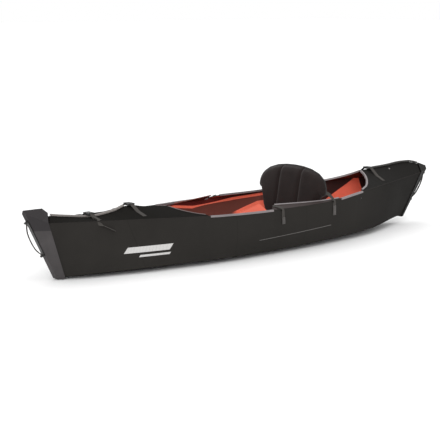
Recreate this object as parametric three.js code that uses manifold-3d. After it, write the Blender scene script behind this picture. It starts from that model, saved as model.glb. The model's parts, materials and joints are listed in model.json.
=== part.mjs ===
// A folding kayak of creased twin-wall sheet, set up for paddling.
// Millimetres. X runs along the boat with the bow at -X, Y runs across with the right side
// of a paddler who faces the bow at +Y, and Z is up. The flat of the bottom rests on Z = 0.
import * as THREE from 'three';
import { mergeVertices } from 'three/addons/utils/BufferGeometryUtils.js';
import Module from 'manifold-3d';

const wasm = await Module();
wasm.setup();

// Hull sizes
const hullLength = 2942;
const halfLength = hullLength / 2;
const sheetThickness = 5;
const creaseGap = 1.6;
const floorHalfWidth = 110;
const chineHalfWidth = 250;
const chineRise = 28;
const cockpitHalfWidth = 285;
const gunwaleHeight = 258;
const sideBulge = 20;
const rakeStartShare = 0.5;

// The two ends: greatest height of the deck, height of the tip, rake of the stem from the tip to
// the floor, and half width of the stem
const bowEnd = { headHeight: 366, tipHeight: 360, rake: 182, stemHalfWidth: 15 };
const sternEnd = { headHeight: 379, tipHeight: 335, rake: 255, stemHalfWidth: 15 };

// Stations are shares of the half length. Widths and heights are shares of the sizes they follow.
// Flat of the bottom: station, half width share, height share of the chine's rise
const floorShares = [
  [-1, 0.08, 0.36], [-0.84, 0.42, 0.32], [-0.74, 0.55, 0.25], [-0.6, 0.75, 0.13], [-0.45, 0.9, 0],
  [-0.33, 1, 0], [0.3, 1, 0], [0.4, 0.93, 0.08], [0.5, 0.85, 0.35], [0.64, 0.62, 1],
  [0.76, 0.42, 1.52], [0.86, 0.26, 1.66], [1, 0.08, 1.6],
];

// Chine: station, half width share, height share of the chine's rise
const chineShares = [
  [-1, 0.06, 0.42], [-0.84, 0.4, 0.86], [-0.74, 0.52, 0.93], [-0.6, 0.7, 1], [-0.45, 0.84, 1.04],
  [-0.33, 0.95, 1], [-0.2, 1, 0.93], [0, 1, 0.93], [0.2, 0.96, 1.07], [0.37, 0.87, 1.2],
  [0.5, 0.78, 1.35], [0.64, 0.58, 1.65], [0.76, 0.38, 1.95], [0.86, 0.22, 1.95], [1, 0.06, 1.7],
];

// Top edge of the side between the two deck creases: station, half width share, height share
const sheerShares = [
  [-0.305, 0.86, 1.016], [-0.2, 0.945, 1.008], [-0.1, 0.985, 1], [0, 1, 0.996], [0.1, 1.003, 0.994],
  [0.2, 0.993, 1], [0.3, 0.954, 1.027], [0.38, 0.895, 1.066],
];

// Top line of the closed decks, as shares of the head's height
const bowRidgeShares = [
  [-1, 0.985], [-0.94, 0.915], [-0.83, 0.839], [-0.735, 0.798], [-0.645, 0.833], [-0.575, 0.905],
  [-0.53, 0.869], [-0.475, 0.8415], [-0.4, 0.8115],
];
const sternRidgeShares = [
  [0.597, 0.9525], [0.75, 0.9736], [0.84, 1], [0.89, 0.997], [0.95, 0.947], [1, 0.884],
];

// Cockpit edge over each deck, from the point on the centre line to the crease:
// station, share of the crease's half width there
const bowRimShares = [[-0.4, 0], [-0.393, 0.32], [-0.379, 0.58], [-0.353, 0.82], [-0.313, 0.985]];
const sternRimShares = [[0.597, 0], [0.588, 0.27], [0.555, 0.6], [0.502, 0.85], [0.395, 0.985]];

// Straight deck creases: stations of both ends, half width and height at the far end
const bowCrease = { outer: -0.943, inner: -0.305, halfWidth: 61.1, height: 300.2 };
const sternCrease = { outer: 0.951, inner: 0.38, halfWidth: 42.8, height: 308.35 };

// Deck sheets start this far behind the end covers
const deckGap = 8;

// Places along the boat, as shares of the half length
const placeShares = {
  flapStart: -0.0544, flapEnd: 0.2991, gussetStart: -0.238, gussetEnd: -0.0802, seat: 0.21618, handle: 0.122366,
  floorFront: -0.29912, floorHinge: -0.040789, floorRear: 0.305914, footBar: -0.370496,
};

// Heights from the gunwale, and distances along the boat from the seat back, from the front of the
// folded-in strips and from the foot bar
const fromGunwale = {
  seatPivot: 32, seatFoot: -162, seatTop: 182, seatTabTop: -8, seatTabFoot: -80, frontTabTop: -12,
  frontTabFoot: -84, strapMiddle: 37, strapStart: 50, handle: -44, footStrap: -53,
};
const fromSeat = { strapStart: 5.3, strapMiddle: 28, strapCrease: 56, strapTab: 64, pad: 28 };
const fromFlap = { strapTab: 60, strapCrease: 50, strapMiddle: 35, strapEdge: 19 };
const fromFootBar = { strapStart: -11, strapTurn: 9, strapReach: 200, strapEnd: 227 };

// Folded-in strips of the gunwale beside the seat, and the triangular gussets ahead of them
const flap = {
  start: halfLength * placeShares.flapStart, end: halfLength * placeShares.flapEnd, frontWidth: 62,
  rearWidth: 14, tilt: 0.32, ramp: 40, tipShare: 0.35, inset: 1,
};
const gusset = {
  start: halfLength * placeShares.gussetStart, end: halfLength * placeShares.gussetEnd, reach: 68, rise: 34,
  thickness: 4, drop: 6, bluntShare: 0.04, clearance: 0.3,
};

// Channel trim on the cut edges
const trim = { wall: 1.8, leg: 9, sideClearance: 1, seat: 0.3, margin: 6 };

// Bead that closes each deck seam
const rail = { halfWidth: 8, height: 11, shoulder: 3, seat: 0.4 };

// Covers over the two ends
const cover = { clearance: 2.4, wall: 2.6, overrun: 40, steps: 4 };
const bowCover = { topStation: -0.947, footStation: -0.962, ridgeStation: -0.914 };
const sternCover = { topStation: 0.955, footStation: 0.972, ridgeStation: 0.955 };

// Top line of the bow cover from the tip to its rear edge, as shares of the head's height
const bowHoodShares = [0.985, 0.985, 0.985, 0.983, 0.917];

// Webbing: width, thickness, and how far it lies off what it rests on
const webbing = { width: 25, narrow: 20, thickness: 2, lift: 0.9, sideLift: 1.55, creaseLift: 6, endGap: 0.4 };

// Side-release buckle
const buckle = {
  width: 36, height: 12, socketLength: 34, wall: 2.4, plugBase: 16, prongWidth: 5.5, clearance: 0.6,
  slotWidth: 27, slotLength: 5, slotInset: 4, windowLength: 14, windowInset: 7, guideWidth: 5, edge: 2,
};

// Straps that close the decks: station, whether the buckle stands over the seam bead, lift off the deck.
// Shares run across a deck half from its crease to the seam.
const closingStraps = {
  bow_strap_1: { station: -0.742, overRail: true, lift: 0.9 },
  bow_strap_2: { station: -0.572, overRail: false, lift: 0.9 },
  stern_strap: { station: 0.645, overRail: false, lift: 1.2 },
};
const strapShares = { landing: 0.53, middle: 0.4, end: 0.16 };
const anchor = { innerShare: 0.3, outerShare: 0.06, margin: 2 };

// Seat back. Its outline runs from the foot up one side: share of the half width, share of the height
const seatBack = {
  x: halfLength * placeShares.seat, pivotHeight: gunwaleHeight + fromGunwale.seatPivot, lean: 0.16,
  foot: gunwaleHeight + fromGunwale.seatFoot, top: gunwaleHeight + fromGunwale.seatTop, thickness: 34, rim: 5,
  inset: 9,
  channelAt: 85, channelWidth: 11, channelDepth: 9,
};
const seatLowShares = [[0, 0], [0.45, 0], [0.6, 0.04], [0.72, 0.2], [0.83, 0.42], [0.87, 0.54], [0.985, 0.575], [1, 0.6]];
const seatHighShares = [
  [0, 1], [0.25, 0.992], [0.5, 0.965], [0.74, 0.905], [0.9, 0.82], [0.975, 0.72], [1, 0.63],
];
const seatColumnShares = [
  0, 0.1, 0.19, 0.25, 0.28, 0.308, 0.336, 0.366, 0.43, 0.52, 0.62, 0.72, 0.81, 0.88, 0.94, 0.98, 1,
];
const seatBoard = { gap: 0.5, thickness: 3, widthShare: 0.7, heightShare: 0.62, centreShare: 0.5 };

// Seat pad
const seatPad = {
  length: 330, underHalfWidth: 108, halfWidth: 150, topHalfWidth: 134, sideHeight: 15,
  edgeHeight: 26, height: 34, channelWidth: 10, channelDepth: 8, gap: 0.6,
};
const padRowShares = [
  0, 0.025, 0.07, 0.15, 0.23, 0.285, 0.31, 0.335, 0.36, 0.42, 0.5, 0.58, 0.64, 0.665, 0.69, 0.715, 0.77,
  0.85, 0.93, 0.975, 1,
];
const padChannelShares = [0.3225, 0.6775];

// Floor panels
const floorPanel = { halfWidth: 104, thickness: 5, lift: 0.8, gap: 2 };

// Foot bar, a folded sheet held by a strap to each side
const footBar = { height: 120, halfDepth: 32, halfWidth: 88, thickness: 5 };
const footStrap = { startHeight: 84, turnHeight: 92, inset: 1 };

// Grab loops on the stems: heights of the two ends, and sizes of the loop and of its plate
const stemLoops = { bow: { top: 306, foot: 138 }, stern: { top: 300, foot: 150 } };
const grabLoop = {
  width: 10, thickness: 5, bow: 19, standoff: 8, endGap: 0.3, lugLength: 8, lugHalfWidth: 7,
  plateThickness: 4, plateHalfWidth: 13, plateGap: 0.4, overlap: 1,
};
const loopShares = [
  [0, 0], [0.05, 0.04], [0.13, 0.42], [0.27, 0.84], [0.5, 1], [0.73, 0.84], [0.87, 0.42], [0.95, 0.04], [1, 0],
];

// Carrying handle on the outside of the right side, at the middle of the folded case
const handle = {
  span: 140, drop: 46, section: 9, standoff: 9, endGap: 0.3, shoulder: 9, corner: 12, turn: 18,
  mountLength: 34, mountHalfWidth: 12, mountGap: 0.5, mountOver: 5,
};

// Straps over the gunwales: each ends in a tab on the outside of the side
const frontStrap = { flapShare: 0.5, edgeShare: 0.96 };
const seatStrap = { startInset: 17, middleInset: 11 };

// Colours and surface of each kind of piece
const finish = {
  outerSheet: { color: 0x2d2c29, roughness: 0.62, metalness: 0 },
  innerSheet: { color: 0xee5c40, roughness: 0.55, metalness: 0 },
  cover: { color: 0x4b4846, roughness: 0.5, metalness: 0 },
  darkCover: { color: 0x1c1b1a, roughness: 0.5, metalness: 0 },
  trim: { color: 0x8f8c8a, roughness: 0.45, metalness: 0 },
  webbing: { color: 0x35332f, roughness: 0.85, metalness: 0 },
  hardware: { color: 0x1a1a1a, roughness: 0.4, metalness: 0 },
  seatFabric: { color: 0x2a2422, roughness: 0.9, metalness: 0 },
  foam: { color: 0x24211f, roughness: 0.95, metalness: 0 },
};

const kayak = new THREE.Group();

function addPiece(name, geometry, surface) {
  const mesh = new THREE.Mesh(geometry, new THREE.MeshStandardMaterial(surface));
  mesh.name = name;
  kayak.add(mesh);
  return mesh;
}

// Smooth curve through a table of rows that never overshoots its points
function smoothColumn(rows, column) {
  const places = rows.map((row) => row[0]);
  const values = rows.map((row) => row[column]);
  const slopes = places.slice(1).map((place, i) => (values[i + 1] - values[i]) / (place - places[i]));
  const tangents = places.map((place, i) => {
    if (i === 0) return slopes[0];
    if (i === places.length - 1) return slopes[i - 1];
    const product = slopes[i - 1] * slopes[i];
    return product <= 0 ? 0 : (2 * product) / (slopes[i - 1] + slopes[i]);
  });
  return (place) => {
    const last = places.length - 2;
    let i = 0;
    while (i < last && place > places[i + 1]) i += 1;
    const span = places[i + 1] - places[i];
    const t = Math.min(1, Math.max(0, (place - places[i]) / span));
    const rise = values[i] + t * t * (3 - 2 * t) * (values[i + 1] - values[i]);
    const bend = t * (1 - t) * ((1 - t) * tangents[i] - t * tangents[i + 1]) * span;
    return rise + bend;
  };
}

const floorWidthAt = smoothColumn(floorShares, 1);
const floorHeightAt = smoothColumn(floorShares, 2);
const chineWidthAt = smoothColumn(chineShares, 1);
const chineHeightAt = smoothColumn(chineShares, 2);
const sheerWidthAt = smoothColumn(sheerShares, 1);
const sheerHeightAt = smoothColumn(sheerShares, 2);
const bowRidgeAt = smoothColumn(bowRidgeShares, 1);
const sternRidgeAt = smoothColumn(sternRidgeShares, 1);

const mix = (a, b, t) => a + (b - a) * t;

function endOf(station) {
  return station < 0 ? bowEnd : sternEnd;
}

// Place along the boat of a point of a station at a height: the ends rake in towards the foot
function rakedX(station, height) {
  const end = endOf(station);
  const reach = Math.max(0, (Math.abs(station) - rakeStartShare) / (1 - rakeStartShare));
  const drop = Math.max(0, 1 - height / end.tipHeight);
  return Math.sign(station) * (halfLength * Math.abs(station) - end.rake * drop * reach * reach);
}

function pointAt(station, halfWidth, height) {
  return new THREE.Vector3(rakedX(station, height), halfWidth, height);
}

const floorEdge = (station) =>
  pointAt(station, floorHalfWidth * floorWidthAt(station), chineRise * floorHeightAt(station));
const chine = (station) =>
  pointAt(station, chineHalfWidth * chineWidthAt(station), chineRise * chineHeightAt(station));
const midSheer = (station) =>
  pointAt(station, cockpitHalfWidth * sheerWidthAt(station), gunwaleHeight * sheerHeightAt(station));

// Top line of the decks on the centre plane
function ridge(station) {
  const share = station < 0 ? bowRidgeAt(station) : sternRidgeAt(station);
  return pointAt(station, 0, endOf(station).headHeight * share);
}

// Ends of a straight deck crease
function creaseEnds(crease) {
  return [pointAt(crease.outer, crease.halfWidth, crease.height), midSheer(crease.inner)];
}

// Point of a straight crease at a place along the boat
function creaseAtX(crease, x) {
  const [outer, inner] = creaseEnds(crease);
  return outer.clone().lerp(inner, (x - outer.x) / (inner.x - outer.x));
}

// Point of a straight crease on a station
function creaseAt(crease, station) {
  const settleRounds = 12;
  let point = creaseAtX(crease, halfLength * station);
  for (let round = 0; round < settleRounds; round += 1) {
    point = creaseAtX(crease, rakedX(station, point.z));
  }
  return point;
}

// Top edge of the side from stem to stern
function sheer(station) {
  if (station < bowCrease.outer || station > sternCrease.outer) {
    const crease = station < 0 ? bowCrease : sternCrease;
    const end = endOf(station);
    const head = (end.headHeight * (station < 0 ? bowRidgeAt(-1) : sternRidgeAt(1))) - end.stemHalfWidth;
    const t = (Math.abs(station) - Math.abs(crease.outer)) / (1 - Math.abs(crease.outer));
    return pointAt(station, mix(crease.halfWidth, end.stemHalfWidth, t), mix(crease.height, head, t));
  }
  if (station < bowCrease.inner) return creaseAt(bowCrease, station);
  if (station > sternCrease.inner) return creaseAt(sternCrease, station);
  return midSheer(station);
}

// Folded-in strip: its width across the crease at a place along the boat
function flapWidth(x) {
  const slack = 1e-6;
  const share = (x - flap.start) / (flap.end - flap.start);
  if (share < -slack || share > 1 + slack) return 0;
  const ramp = Math.min(1, (x - flap.start) / flap.ramp);
  return mix(flap.frontWidth, flap.rearWidth, share) * mix(flap.tipShare, 1, ramp);
}

// Inner edge of the folded-in strip
function flapEdge(x) {
  const edge = sheer(x / halfLength);
  const width = flapWidth(x);
  return new THREE.Vector3(x, edge.y - width * Math.cos(flap.tilt), edge.z + width * Math.sin(flap.tilt));
}

// Edge of the cockpit over a deck, as points from the centre line out towards the crease
const rimPointShares = [0, 0.06, 0.13, 0.21, 0.3, 0.4, 0.5, 0.61, 0.73, 0.86];
function rimPoints(rows, crease) {
  const apex = ridge(rows[0][0]);
  const corners = rows.map(([station, share]) => {
    const outer = creaseAtX(crease, mix(apex.x, halfLength * station, Math.min(1, share / rows[1][1])));
    return new THREE.Vector3(outer.x, outer.y * share, mix(apex.z, outer.z, share));
  });
  const curve = new THREE.CatmullRomCurve3(corners);
  return rimPointShares.map((share) => curve.getPoint(share));
}

// What the top of the side folds towards at a station, or null where the edge is cut
function nextAfterSheer(station) {
  const x = sheer(station).x;
  if (station <= bowCrease.inner || station >= sternCrease.inner) {
    const top = ridge(Math.min(bowRimShares[0][0], station));
    if (station < 0) return new THREE.Vector3(x, 0, top.z);
    return new THREE.Vector3(x, 0, ridge(Math.max(sternRimShares[0][0], station)).z);
  }
  return flapWidth(x) > 0 ? flapEdge(x) : null;
}

// Side of the hull at a station, from the chine up, bowed outwards between its edges
const sideSteps = 3;
function sidePoints(station) {
  const low = chine(station);
  const high = sheer(station);
  const outward = new THREE.Vector3(0, high.z - low.z, low.y - high.y).normalize();
  const fade = (1 - station * station) ** 2;
  return Array.from({ length: sideSteps + 1 }, (unused, i) => {
    const t = i / sideSteps;
    const swell = 4 * t * (1 - t) * sideBulge * fade;
    return low.clone().lerp(high, t).addScaledVector(outward, swell);
  });
}

// Inner corner of a sheet whose outer corner is at point, between its two neighbours across
function innerCorner(before, point, after, thickness) {
  const normals = [];
  if (before) normals.push([-(point.z - before.z), point.y - before.y]);
  if (after) normals.push([-(after.z - point.z), after.y - point.y]);
  const units = normals.map(([y, z]) => {
    const length = Math.hypot(y, z);
    return [y / length, z / length];
  });
  const sum = units.reduce((total, unit) => [total[0] + unit[0], total[1] + unit[1]], [0, 0]);
  const length = Math.hypot(sum[0], sum[1]);
  const bisector = [sum[0] / length, sum[1] / length];
  const spread = bisector[0] * units[0][0] + bisector[1] * units[0][1];
  return new THREE.Vector3(
    point.x, point.y + (bisector[0] * thickness) / spread, point.z + (bisector[1] * thickness) / spread,
  );
}

// Closed solid from rows of loops: each row is one closed loop with as many points as the others,
// and its quads split along the other diagonal from one point of the loop on
function loftLoops(rows, capTriangles, otherFrom = rows[0].length) {
  const count = rows[0].length;
  const positions = rows.flat().flatMap((point) => [point.x, point.y, point.z]);
  const index = [];
  for (let i = 0; i < rows.length - 1; i += 1) {
    for (let j = 0; j < count; j += 1) {
      const a = i * count + j;
      const b = i * count + ((j + 1) % count);
      const [c, d] = j < otherFrom ? [a + count, b] : [b + count, a];
      index.push(a, b, c, d, b + count, a + count);
    }
  }
  const lastRow = (rows.length - 1) * count;
  for (const [a, b, c] of capTriangles) {
    index.push(a, c, b, lastRow + a, lastRow + b, lastRow + c);
  }
  return facingOut(positions, index);
}

// Geometry with its faces turned outwards
function facingOut(positions, index) {
  let volume = 0;
  const corner = (i) => new THREE.Vector3().fromArray(positions, index[i] * 3);
  for (let i = 0; i < index.length; i += 3) {
    volume += corner(i).dot(corner(i + 1).cross(corner(i + 2)));
  }
  if (volume < 0) {
    for (let i = 0; i < index.length; i += 3) {
      [index[i + 1], index[i + 2]] = [index[i + 2], index[i + 1]];
    }
  }
  const geometry = new THREE.BufferGeometry();
  geometry.setAttribute('position', new THREE.Float32BufferAttribute(positions, 3));
  geometry.setIndex(index);
  return geometry;
}

// Triangles that fill a flat outline, turned the way the outline runs
function fillOutline(outline) {
  const points = outline.map(([x, y]) => new THREE.Vector2(x, y));
  const triangles = THREE.ShapeUtils.triangulateShape(points, []);
  if (THREE.ShapeUtils.area(points) > 0) return triangles;
  return triangles.map(([a, b, c]) => [a, c, b]);
}

// Triangles of a closed loop that all meet at one of its points
function fanFrom(hub, count) {
  return Array.from({ length: count - 2 }, (unused, i) => [hub, (hub + i + 1) % count, (hub + i + 2) % count]);
}

// Strip of triangles between the outer and inner points of a sheet's end
function sheetCap(count) {
  const triangles = [];
  for (let j = 0; j < count - 1; j += 1) {
    const innerHere = 2 * count - 1 - j;
    triangles.push([j, j + 1, innerHere], [j + 1, innerHere - 1, innerHere]);
  }
  return triangles;
}

// Sheet between outer and inner rows of points
function sheetSolid(rows, otherFrom) {
  const count = rows[0].outer.length;
  const loops = rows.map(({ outer, inner }) => [...outer, ...[...inner].reverse()]);
  return loftLoops(loops, sheetCap(count), otherFrom);
}

// Sheet whose outer and inner skins fold along the same diagonals, for one that twists along its run
function twistedSheet(rows) {
  return sheetSolid(rows, rows[0].outer.length);
}

// Solid of one outline carried along a list of frames
function sweep(outline, frames) {
  const rows = frames.map(({ at, across, up }) =>
    outline.map(([a, b]) => at.clone().addScaledVector(across, a).addScaledVector(up, b)));
  return loftLoops(rows, fillOutline(outline));
}

// Frames along points, each with an up direction, turned square to the run
function framesAlong(points, upAt) {
  return points.map((at, i) => {
    const ahead = points[Math.min(points.length - 1, i + 1)];
    const behind = points[Math.max(0, i - 1)];
    const run = ahead.clone().sub(behind).normalize();
    const wanted = upAt(i);
    const across = run.clone().cross(wanted).normalize();
    return { at, across, up: across.clone().cross(run).normalize() };
  });
}

const mirrorPoint = (point, side) => new THREE.Vector3(point.x, point.y * side, point.z);
const mirrorRow = (row, side) => ({
  outer: row.outer.map((point) => mirrorPoint(point, side)),
  inner: row.inner.map((point) => mirrorPoint(point, side)),
});

// Draws both edges of a row in from its creases by half the crease gap
function easeEdges(row, first, last) {
  const shift = (points, end, next) => {
    const along = points[next].clone().sub(points[end]).normalize();
    points[end].addScaledVector(along, creaseGap / 2);
  };
  const top = row.outer.length - 1;
  if (first) {
    shift(row.outer, 0, 1);
    row.inner[0].add(row.outer[1].clone().sub(row.outer[0]).normalize().multiplyScalar(creaseGap / 2));
  }
  if (last) {
    shift(row.outer, top, top - 1);
    const back = row.outer[top - 1].clone().sub(row.outer[top]).normalize();
    row.inner[top].addScaledVector(back, creaseGap / 2);
  }
  return row;
}

const SIDES = { left: -1, right: 1 };

// Stations along the whole hull, closer together at the ends, with one at each end of the
// folded-in strips and one just past it
const flapMargin = 4;
const hullStations = [
  -1, -0.97, bowCrease.outer, -0.9, -0.84, -0.78, -0.72, -0.66, -0.6, -0.54, -0.48, -0.42, -0.36, -0.305,
  -0.25, -0.19, -0.12, 0, 0.06, 0.13, 0.2, 0.25, 0.34, 0.38, 0.44, 0.5, 0.56, 0.62,
  0.68, 0.74, 0.8, 0.85, 0.9, sternCrease.outer, 0.975, 1,
  ...[flap.start - flapMargin, flap.start, flap.end, flap.end + flapMargin].map((x) => x / halfLength),
].sort((a, b) => a - b);

// Bottom: the flat middle and the two bilges that rise to the chines, in one sheet
function makeBottom() {
  const rows = hullStations.map((station) => {
    const edge = floorEdge(station);
    const corner = chine(station);
    const above = sidePoints(station)[1];
    const half = {
      outer: [corner.clone(), edge.clone()],
      inner: [
        innerCorner(mirrorPoint(above, -1), mirrorPoint(corner, -1), mirrorPoint(edge, -1), sheetThickness),
        innerCorner(mirrorPoint(corner, -1), mirrorPoint(edge, -1), edge, sheetThickness),
      ].map((point) => mirrorPoint(point, -1)),
    };
    easeEdges(half, true, false);
    const other = mirrorRow(half, -1);
    return {
      outer: [...other.outer, ...half.outer.reverse()],
      inner: [...other.inner, ...half.inner.reverse()],
    };
  });
  addPiece('hull_bottom', sheetSolid(rows), finish.outerSheet);
}

// Sides from the chine to the gunwale, stem to stern
function makeSides() {
  for (const [name, side] of Object.entries(SIDES)) {
    const rows = hullStations.map((station) => {
      const outer = sidePoints(station);
      const below = floorEdge(station);
      const next = nextAfterSheer(station);
      const inner = outer.map((point, i) =>
        innerCorner(i === 0 ? below : outer[i - 1], point, i === sideSteps ? next : outer[i + 1], sheetThickness));
      return mirrorRow(easeEdges({ outer, inner }, true, next !== null), side);
    });
    addPiece(`side_${name}`, sheetSolid(rows), finish.outerSheet);
  }
}

// Station one gap behind the edge of an end cover
const behindCover = (station) => station - (Math.sign(station) * deckGap) / halfLength;

// One deck half between its straight crease and the centre seam, then the cockpit edge
function deckRows(crease, place, apexStation, rimRows) {
  const ridgeSteps = 13;
  const rows = [];
  const addRow = (outerPoint, innerPoint, station, onSeam) => {
    const before = sidePoints(station)[sideSteps - 1];
    const outer = [outerPoint.clone(), innerPoint.clone()];
    const slope = new THREE.Vector2(innerPoint.y - outerPoint.y, innerPoint.z - outerPoint.z).normalize();
    const plumb = sheetThickness / Math.abs(slope.x);
    const seamCorner = new THREE.Vector3(innerPoint.x, innerPoint.y, innerPoint.z - plumb);
    const inner = [
      innerCorner(before, outerPoint, onSeam ? ridge(station) : innerPoint, sheetThickness),
      onSeam ? seamCorner : innerCorner(outerPoint, innerPoint, null, sheetThickness),
    ];
    rows.push(easeEdges({ outer, inner }, true, onSeam));
  };
  for (let i = 0; i <= ridgeSteps; i += 1) {
    const station = mix(behindCover(place.topStation), apexStation, i / ridgeSteps);
    const ridgeStation = mix(behindCover(place.ridgeStation), apexStation, i / ridgeSteps);
    addRow(creaseAt(crease, station), ridge(ridgeStation), station, true);
  }
  for (const point of rimPoints(rimRows, crease).slice(1)) {
    addRow(creaseAtX(crease, point.x), point, point.x / halfLength, false);
  }
  return rows;
}

const decks = {
  bow: deckRows(bowCrease, bowCover, bowRimShares[0][0], bowRimShares),
  stern: deckRows(sternCrease, sternCover, sternRimShares[0][0], sternRimShares),
};

function makeDecks() {
  for (const [end, rows] of Object.entries(decks)) {
    for (const [name, side] of Object.entries(SIDES)) {
      const deck = rows.map((row) => mirrorRow(row, side));
    addPiece(`${end}_deck_${name}`, twistedSheet(deck), finish.outerSheet);
    }
  }
}

// Strips of the gunwale folded in beside the seat
function makeFlaps() {
  const steps = 9;
  for (const [name, side] of Object.entries(SIDES)) {
    const rows = Array.from({ length: steps + 1 }, (unused, i) => {
      const x = mix(flap.start + flap.inset, flap.end - flap.inset, i / steps);
      const station = x / halfLength;
      const outer = [sheer(station), flapEdge(x)];
      const before = sidePoints(station)[sideSteps - 1];
      const inner = [
        innerCorner(before, outer[0], outer[1], sheetThickness),
        innerCorner(outer[0], outer[1], null, sheetThickness),
      ];
      return mirrorRow(easeEdges({ outer, inner }, true, false), side);
    });
    addPiece(`gunwale_flap_${name}`, sheetSolid(rows), finish.outerSheet);
  }
}

// Triangular gussets that brace the front of each folded-in strip
function makeGussets() {
  const inset = sheetThickness + trim.sideClearance + trim.wall + gusset.clearance;
  const corner = (x, reach, rise) => {
    const edge = sheer(x / halfLength);
    return new THREE.Vector3(x, edge.y - inset - reach, edge.z - gusset.drop + rise);
  };
  for (const [name, side] of Object.entries(SIDES)) {
    const tip = corner(gusset.start, 0, 0);
    const heel = corner(gusset.end, 0, 0);
    const peak = corner(gusset.end, gusset.reach, gusset.rise);
    const normal = heel.clone().sub(tip).cross(peak.clone().sub(tip)).normalize();
    const blunt = tip.clone().lerp(peak, gusset.bluntShare);
    const top = [tip, heel, peak, blunt].map((point) => mirrorPoint(point, side));
    const down = mirrorPoint(normal.multiplyScalar(normal.z > 0 ? -1 : 1), side);
    const under = top.map((point) => point.clone().addScaledVector(down, gusset.thickness));
    addPiece(`flap_gusset_${name}`, loftLoops([top, under], [[0, 1, 2], [0, 2, 3]]), finish.innerSheet);
  }
}

// Outline of the channel trim, as (out of the sheet's outer face, past its cut edge)
const trimOutline = (() => {
  const { wall, leg, sideClearance, seat: gap } = trim;
  const outside = sideClearance + wall;
  const inside = -sheetThickness - sideClearance;
  return [
    [outside, -leg], [outside, gap + wall], [inside - wall, gap + wall], [inside - wall, -leg],
    [inside, -leg], [inside, gap], [sideClearance, gap], [sideClearance, -leg],
  ];
})();

// Channel trim along cut edge points, each with the way into the sheet and the outer face's normal
function trimSolid(edge) {
  const frames = edge.map(({ at, inward, normal }, i) => {
    const ahead = edge[Math.min(edge.length - 1, i + 1)].at;
    const behind = edge[Math.max(0, i - 1)].at;
    const run = ahead.clone().sub(behind).normalize();
    const up = inward.clone().negate();
    up.addScaledVector(run, -up.dot(run)).normalize();
    const across = normal.clone().addScaledVector(run, -normal.dot(run));
    across.addScaledVector(up, -across.dot(up)).normalize();
    return { at, across, up };
  });
  return sweep(trimOutline, frames);
}

const mirrorEdge = (edge, side) => edge.map(({ at, inward, normal }) => ({
  at: mirrorPoint(at, side), inward: mirrorPoint(inward, side), normal: mirrorPoint(normal, side),
}));

// Normal of a sheet's outer face across from one point of a station to the next
function acrossNormal(from, to) {
  return new THREE.Vector3(0, to.z - from.z, from.y - to.y).normalize();
}

// Cut edge of one side: the open gunwale ahead of the folded-in strip or behind it
function sideEdge(fromX, toX, steps) {
  return Array.from({ length: steps + 1 }, (unused, i) => {
    const station = mix(fromX, toX, i / steps) / halfLength;
    const points = sidePoints(station);
    const at = points[sideSteps];
    const inward = points[sideSteps - 1].clone().sub(at).normalize();
    return { at, inward, normal: acrossNormal(points[sideSteps - 1], at) };
  });
}

// Cut edge of a folded-in strip
function flapTrimEdge(steps) {
  return Array.from({ length: steps + 1 }, (unused, i) => {
    const x = mix(flap.start + flap.ramp + trim.margin, flap.end - trim.margin, i / steps);
    const crease = sheer(x / halfLength);
    const at = flapEdge(x);
    return { at, inward: crease.clone().sub(at).normalize(), normal: acrossNormal(crease, at) };
  });
}

// Cut edge of a deck half, from near the centre line out to near the crease
function deckTrimEdge(crease, rimRows) {
  const points = rimPoints(rimRows, crease);
  const last = points.length - 1;
  const ends = [points[0].distanceTo(points[1]), points[last].distanceTo(points[last - 1])];
  const eased = points.map((point) => point.clone());
  eased[0].lerp(points[1], trim.margin / ends[0]);
  eased[last].lerp(points[last - 1], trim.margin / ends[1]);
  return eased.map((at, i) => {
    const run = points[Math.min(last, i + 1)].clone().sub(points[Math.max(0, i - 1)]).normalize();
    const outer = creaseAtX(crease, at.x);
    const normal = run.clone().cross(outer.clone().sub(at)).normalize();
    if (normal.z < 0) normal.negate();
    const inward = normal.clone().cross(run).normalize();
    if (inward.x * Math.sign(crease.outer) < 0) inward.negate();
    return { at, inward, normal };
  });
}

// Place along the boat where a deck half meets its crease at the cockpit
function deckCorner(rows) {
  const places = rows.map(({ outer }) => outer[0].x);
  return places.reduce((nearest, x) => (Math.abs(x) < Math.abs(nearest) ? x : nearest));
}

function makeTrims() {
  const frontSteps = 9;
  const rearSteps = 6;
  const flapSteps = 7;
  const ends = { bow: deckCorner(decks.bow), stern: deckCorner(decks.stern) };
  const edges = {
    gunwale_trim_front: sideEdge(ends.bow + trim.margin, flap.start - trim.margin, frontSteps),
    gunwale_trim_rear: sideEdge(flap.end + trim.margin, ends.stern - trim.margin, rearSteps),
    flap_trim: flapTrimEdge(flapSteps),
    bow_rim_trim: deckTrimEdge(bowCrease, bowRimShares),
    stern_rim_trim: deckTrimEdge(sternCrease, sternRimShares),
  };
  for (const [piece, edge] of Object.entries(edges)) {
    for (const [name, side] of Object.entries(SIDES)) {
      addPiece(`${piece}_${name}`, trimSolid(mirrorEdge(edge, side)), finish.trim);
    }
  }
}

// Solid for cutting and joining, from a geometry
function toSolid(geometry) {
  const bare = geometry.clone();
  bare.deleteAttribute('normal');
  bare.deleteAttribute('uv');
  const merged = mergeVertices(bare);
  return new wasm.Manifold(new wasm.Mesh({
    numProp: 3,
    vertProperties: new Float32Array(merged.attributes.position.array),
    triVerts: new Uint32Array(merged.index.array),
  }));
}

// Geometry of a cut or joined solid
function toGeometry(solid) {
  const mesh = solid.getMesh();
  const geometry = new THREE.BufferGeometry();
  geometry.setAttribute('position', new THREE.BufferAttribute(new Float32Array(mesh.vertProperties), 3));
  geometry.setIndex(new THREE.BufferAttribute(new Uint32Array(mesh.triVerts), 1));
  return geometry;
}

// Box between two corners
function boxBetween(low, high) {
  const size = high.map((value, i) => value - low[i]);
  const box = new THREE.BoxGeometry(...size);
  box.translate(...low.map((value, i) => value + size[i] / 2));
  return box;
}

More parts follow.
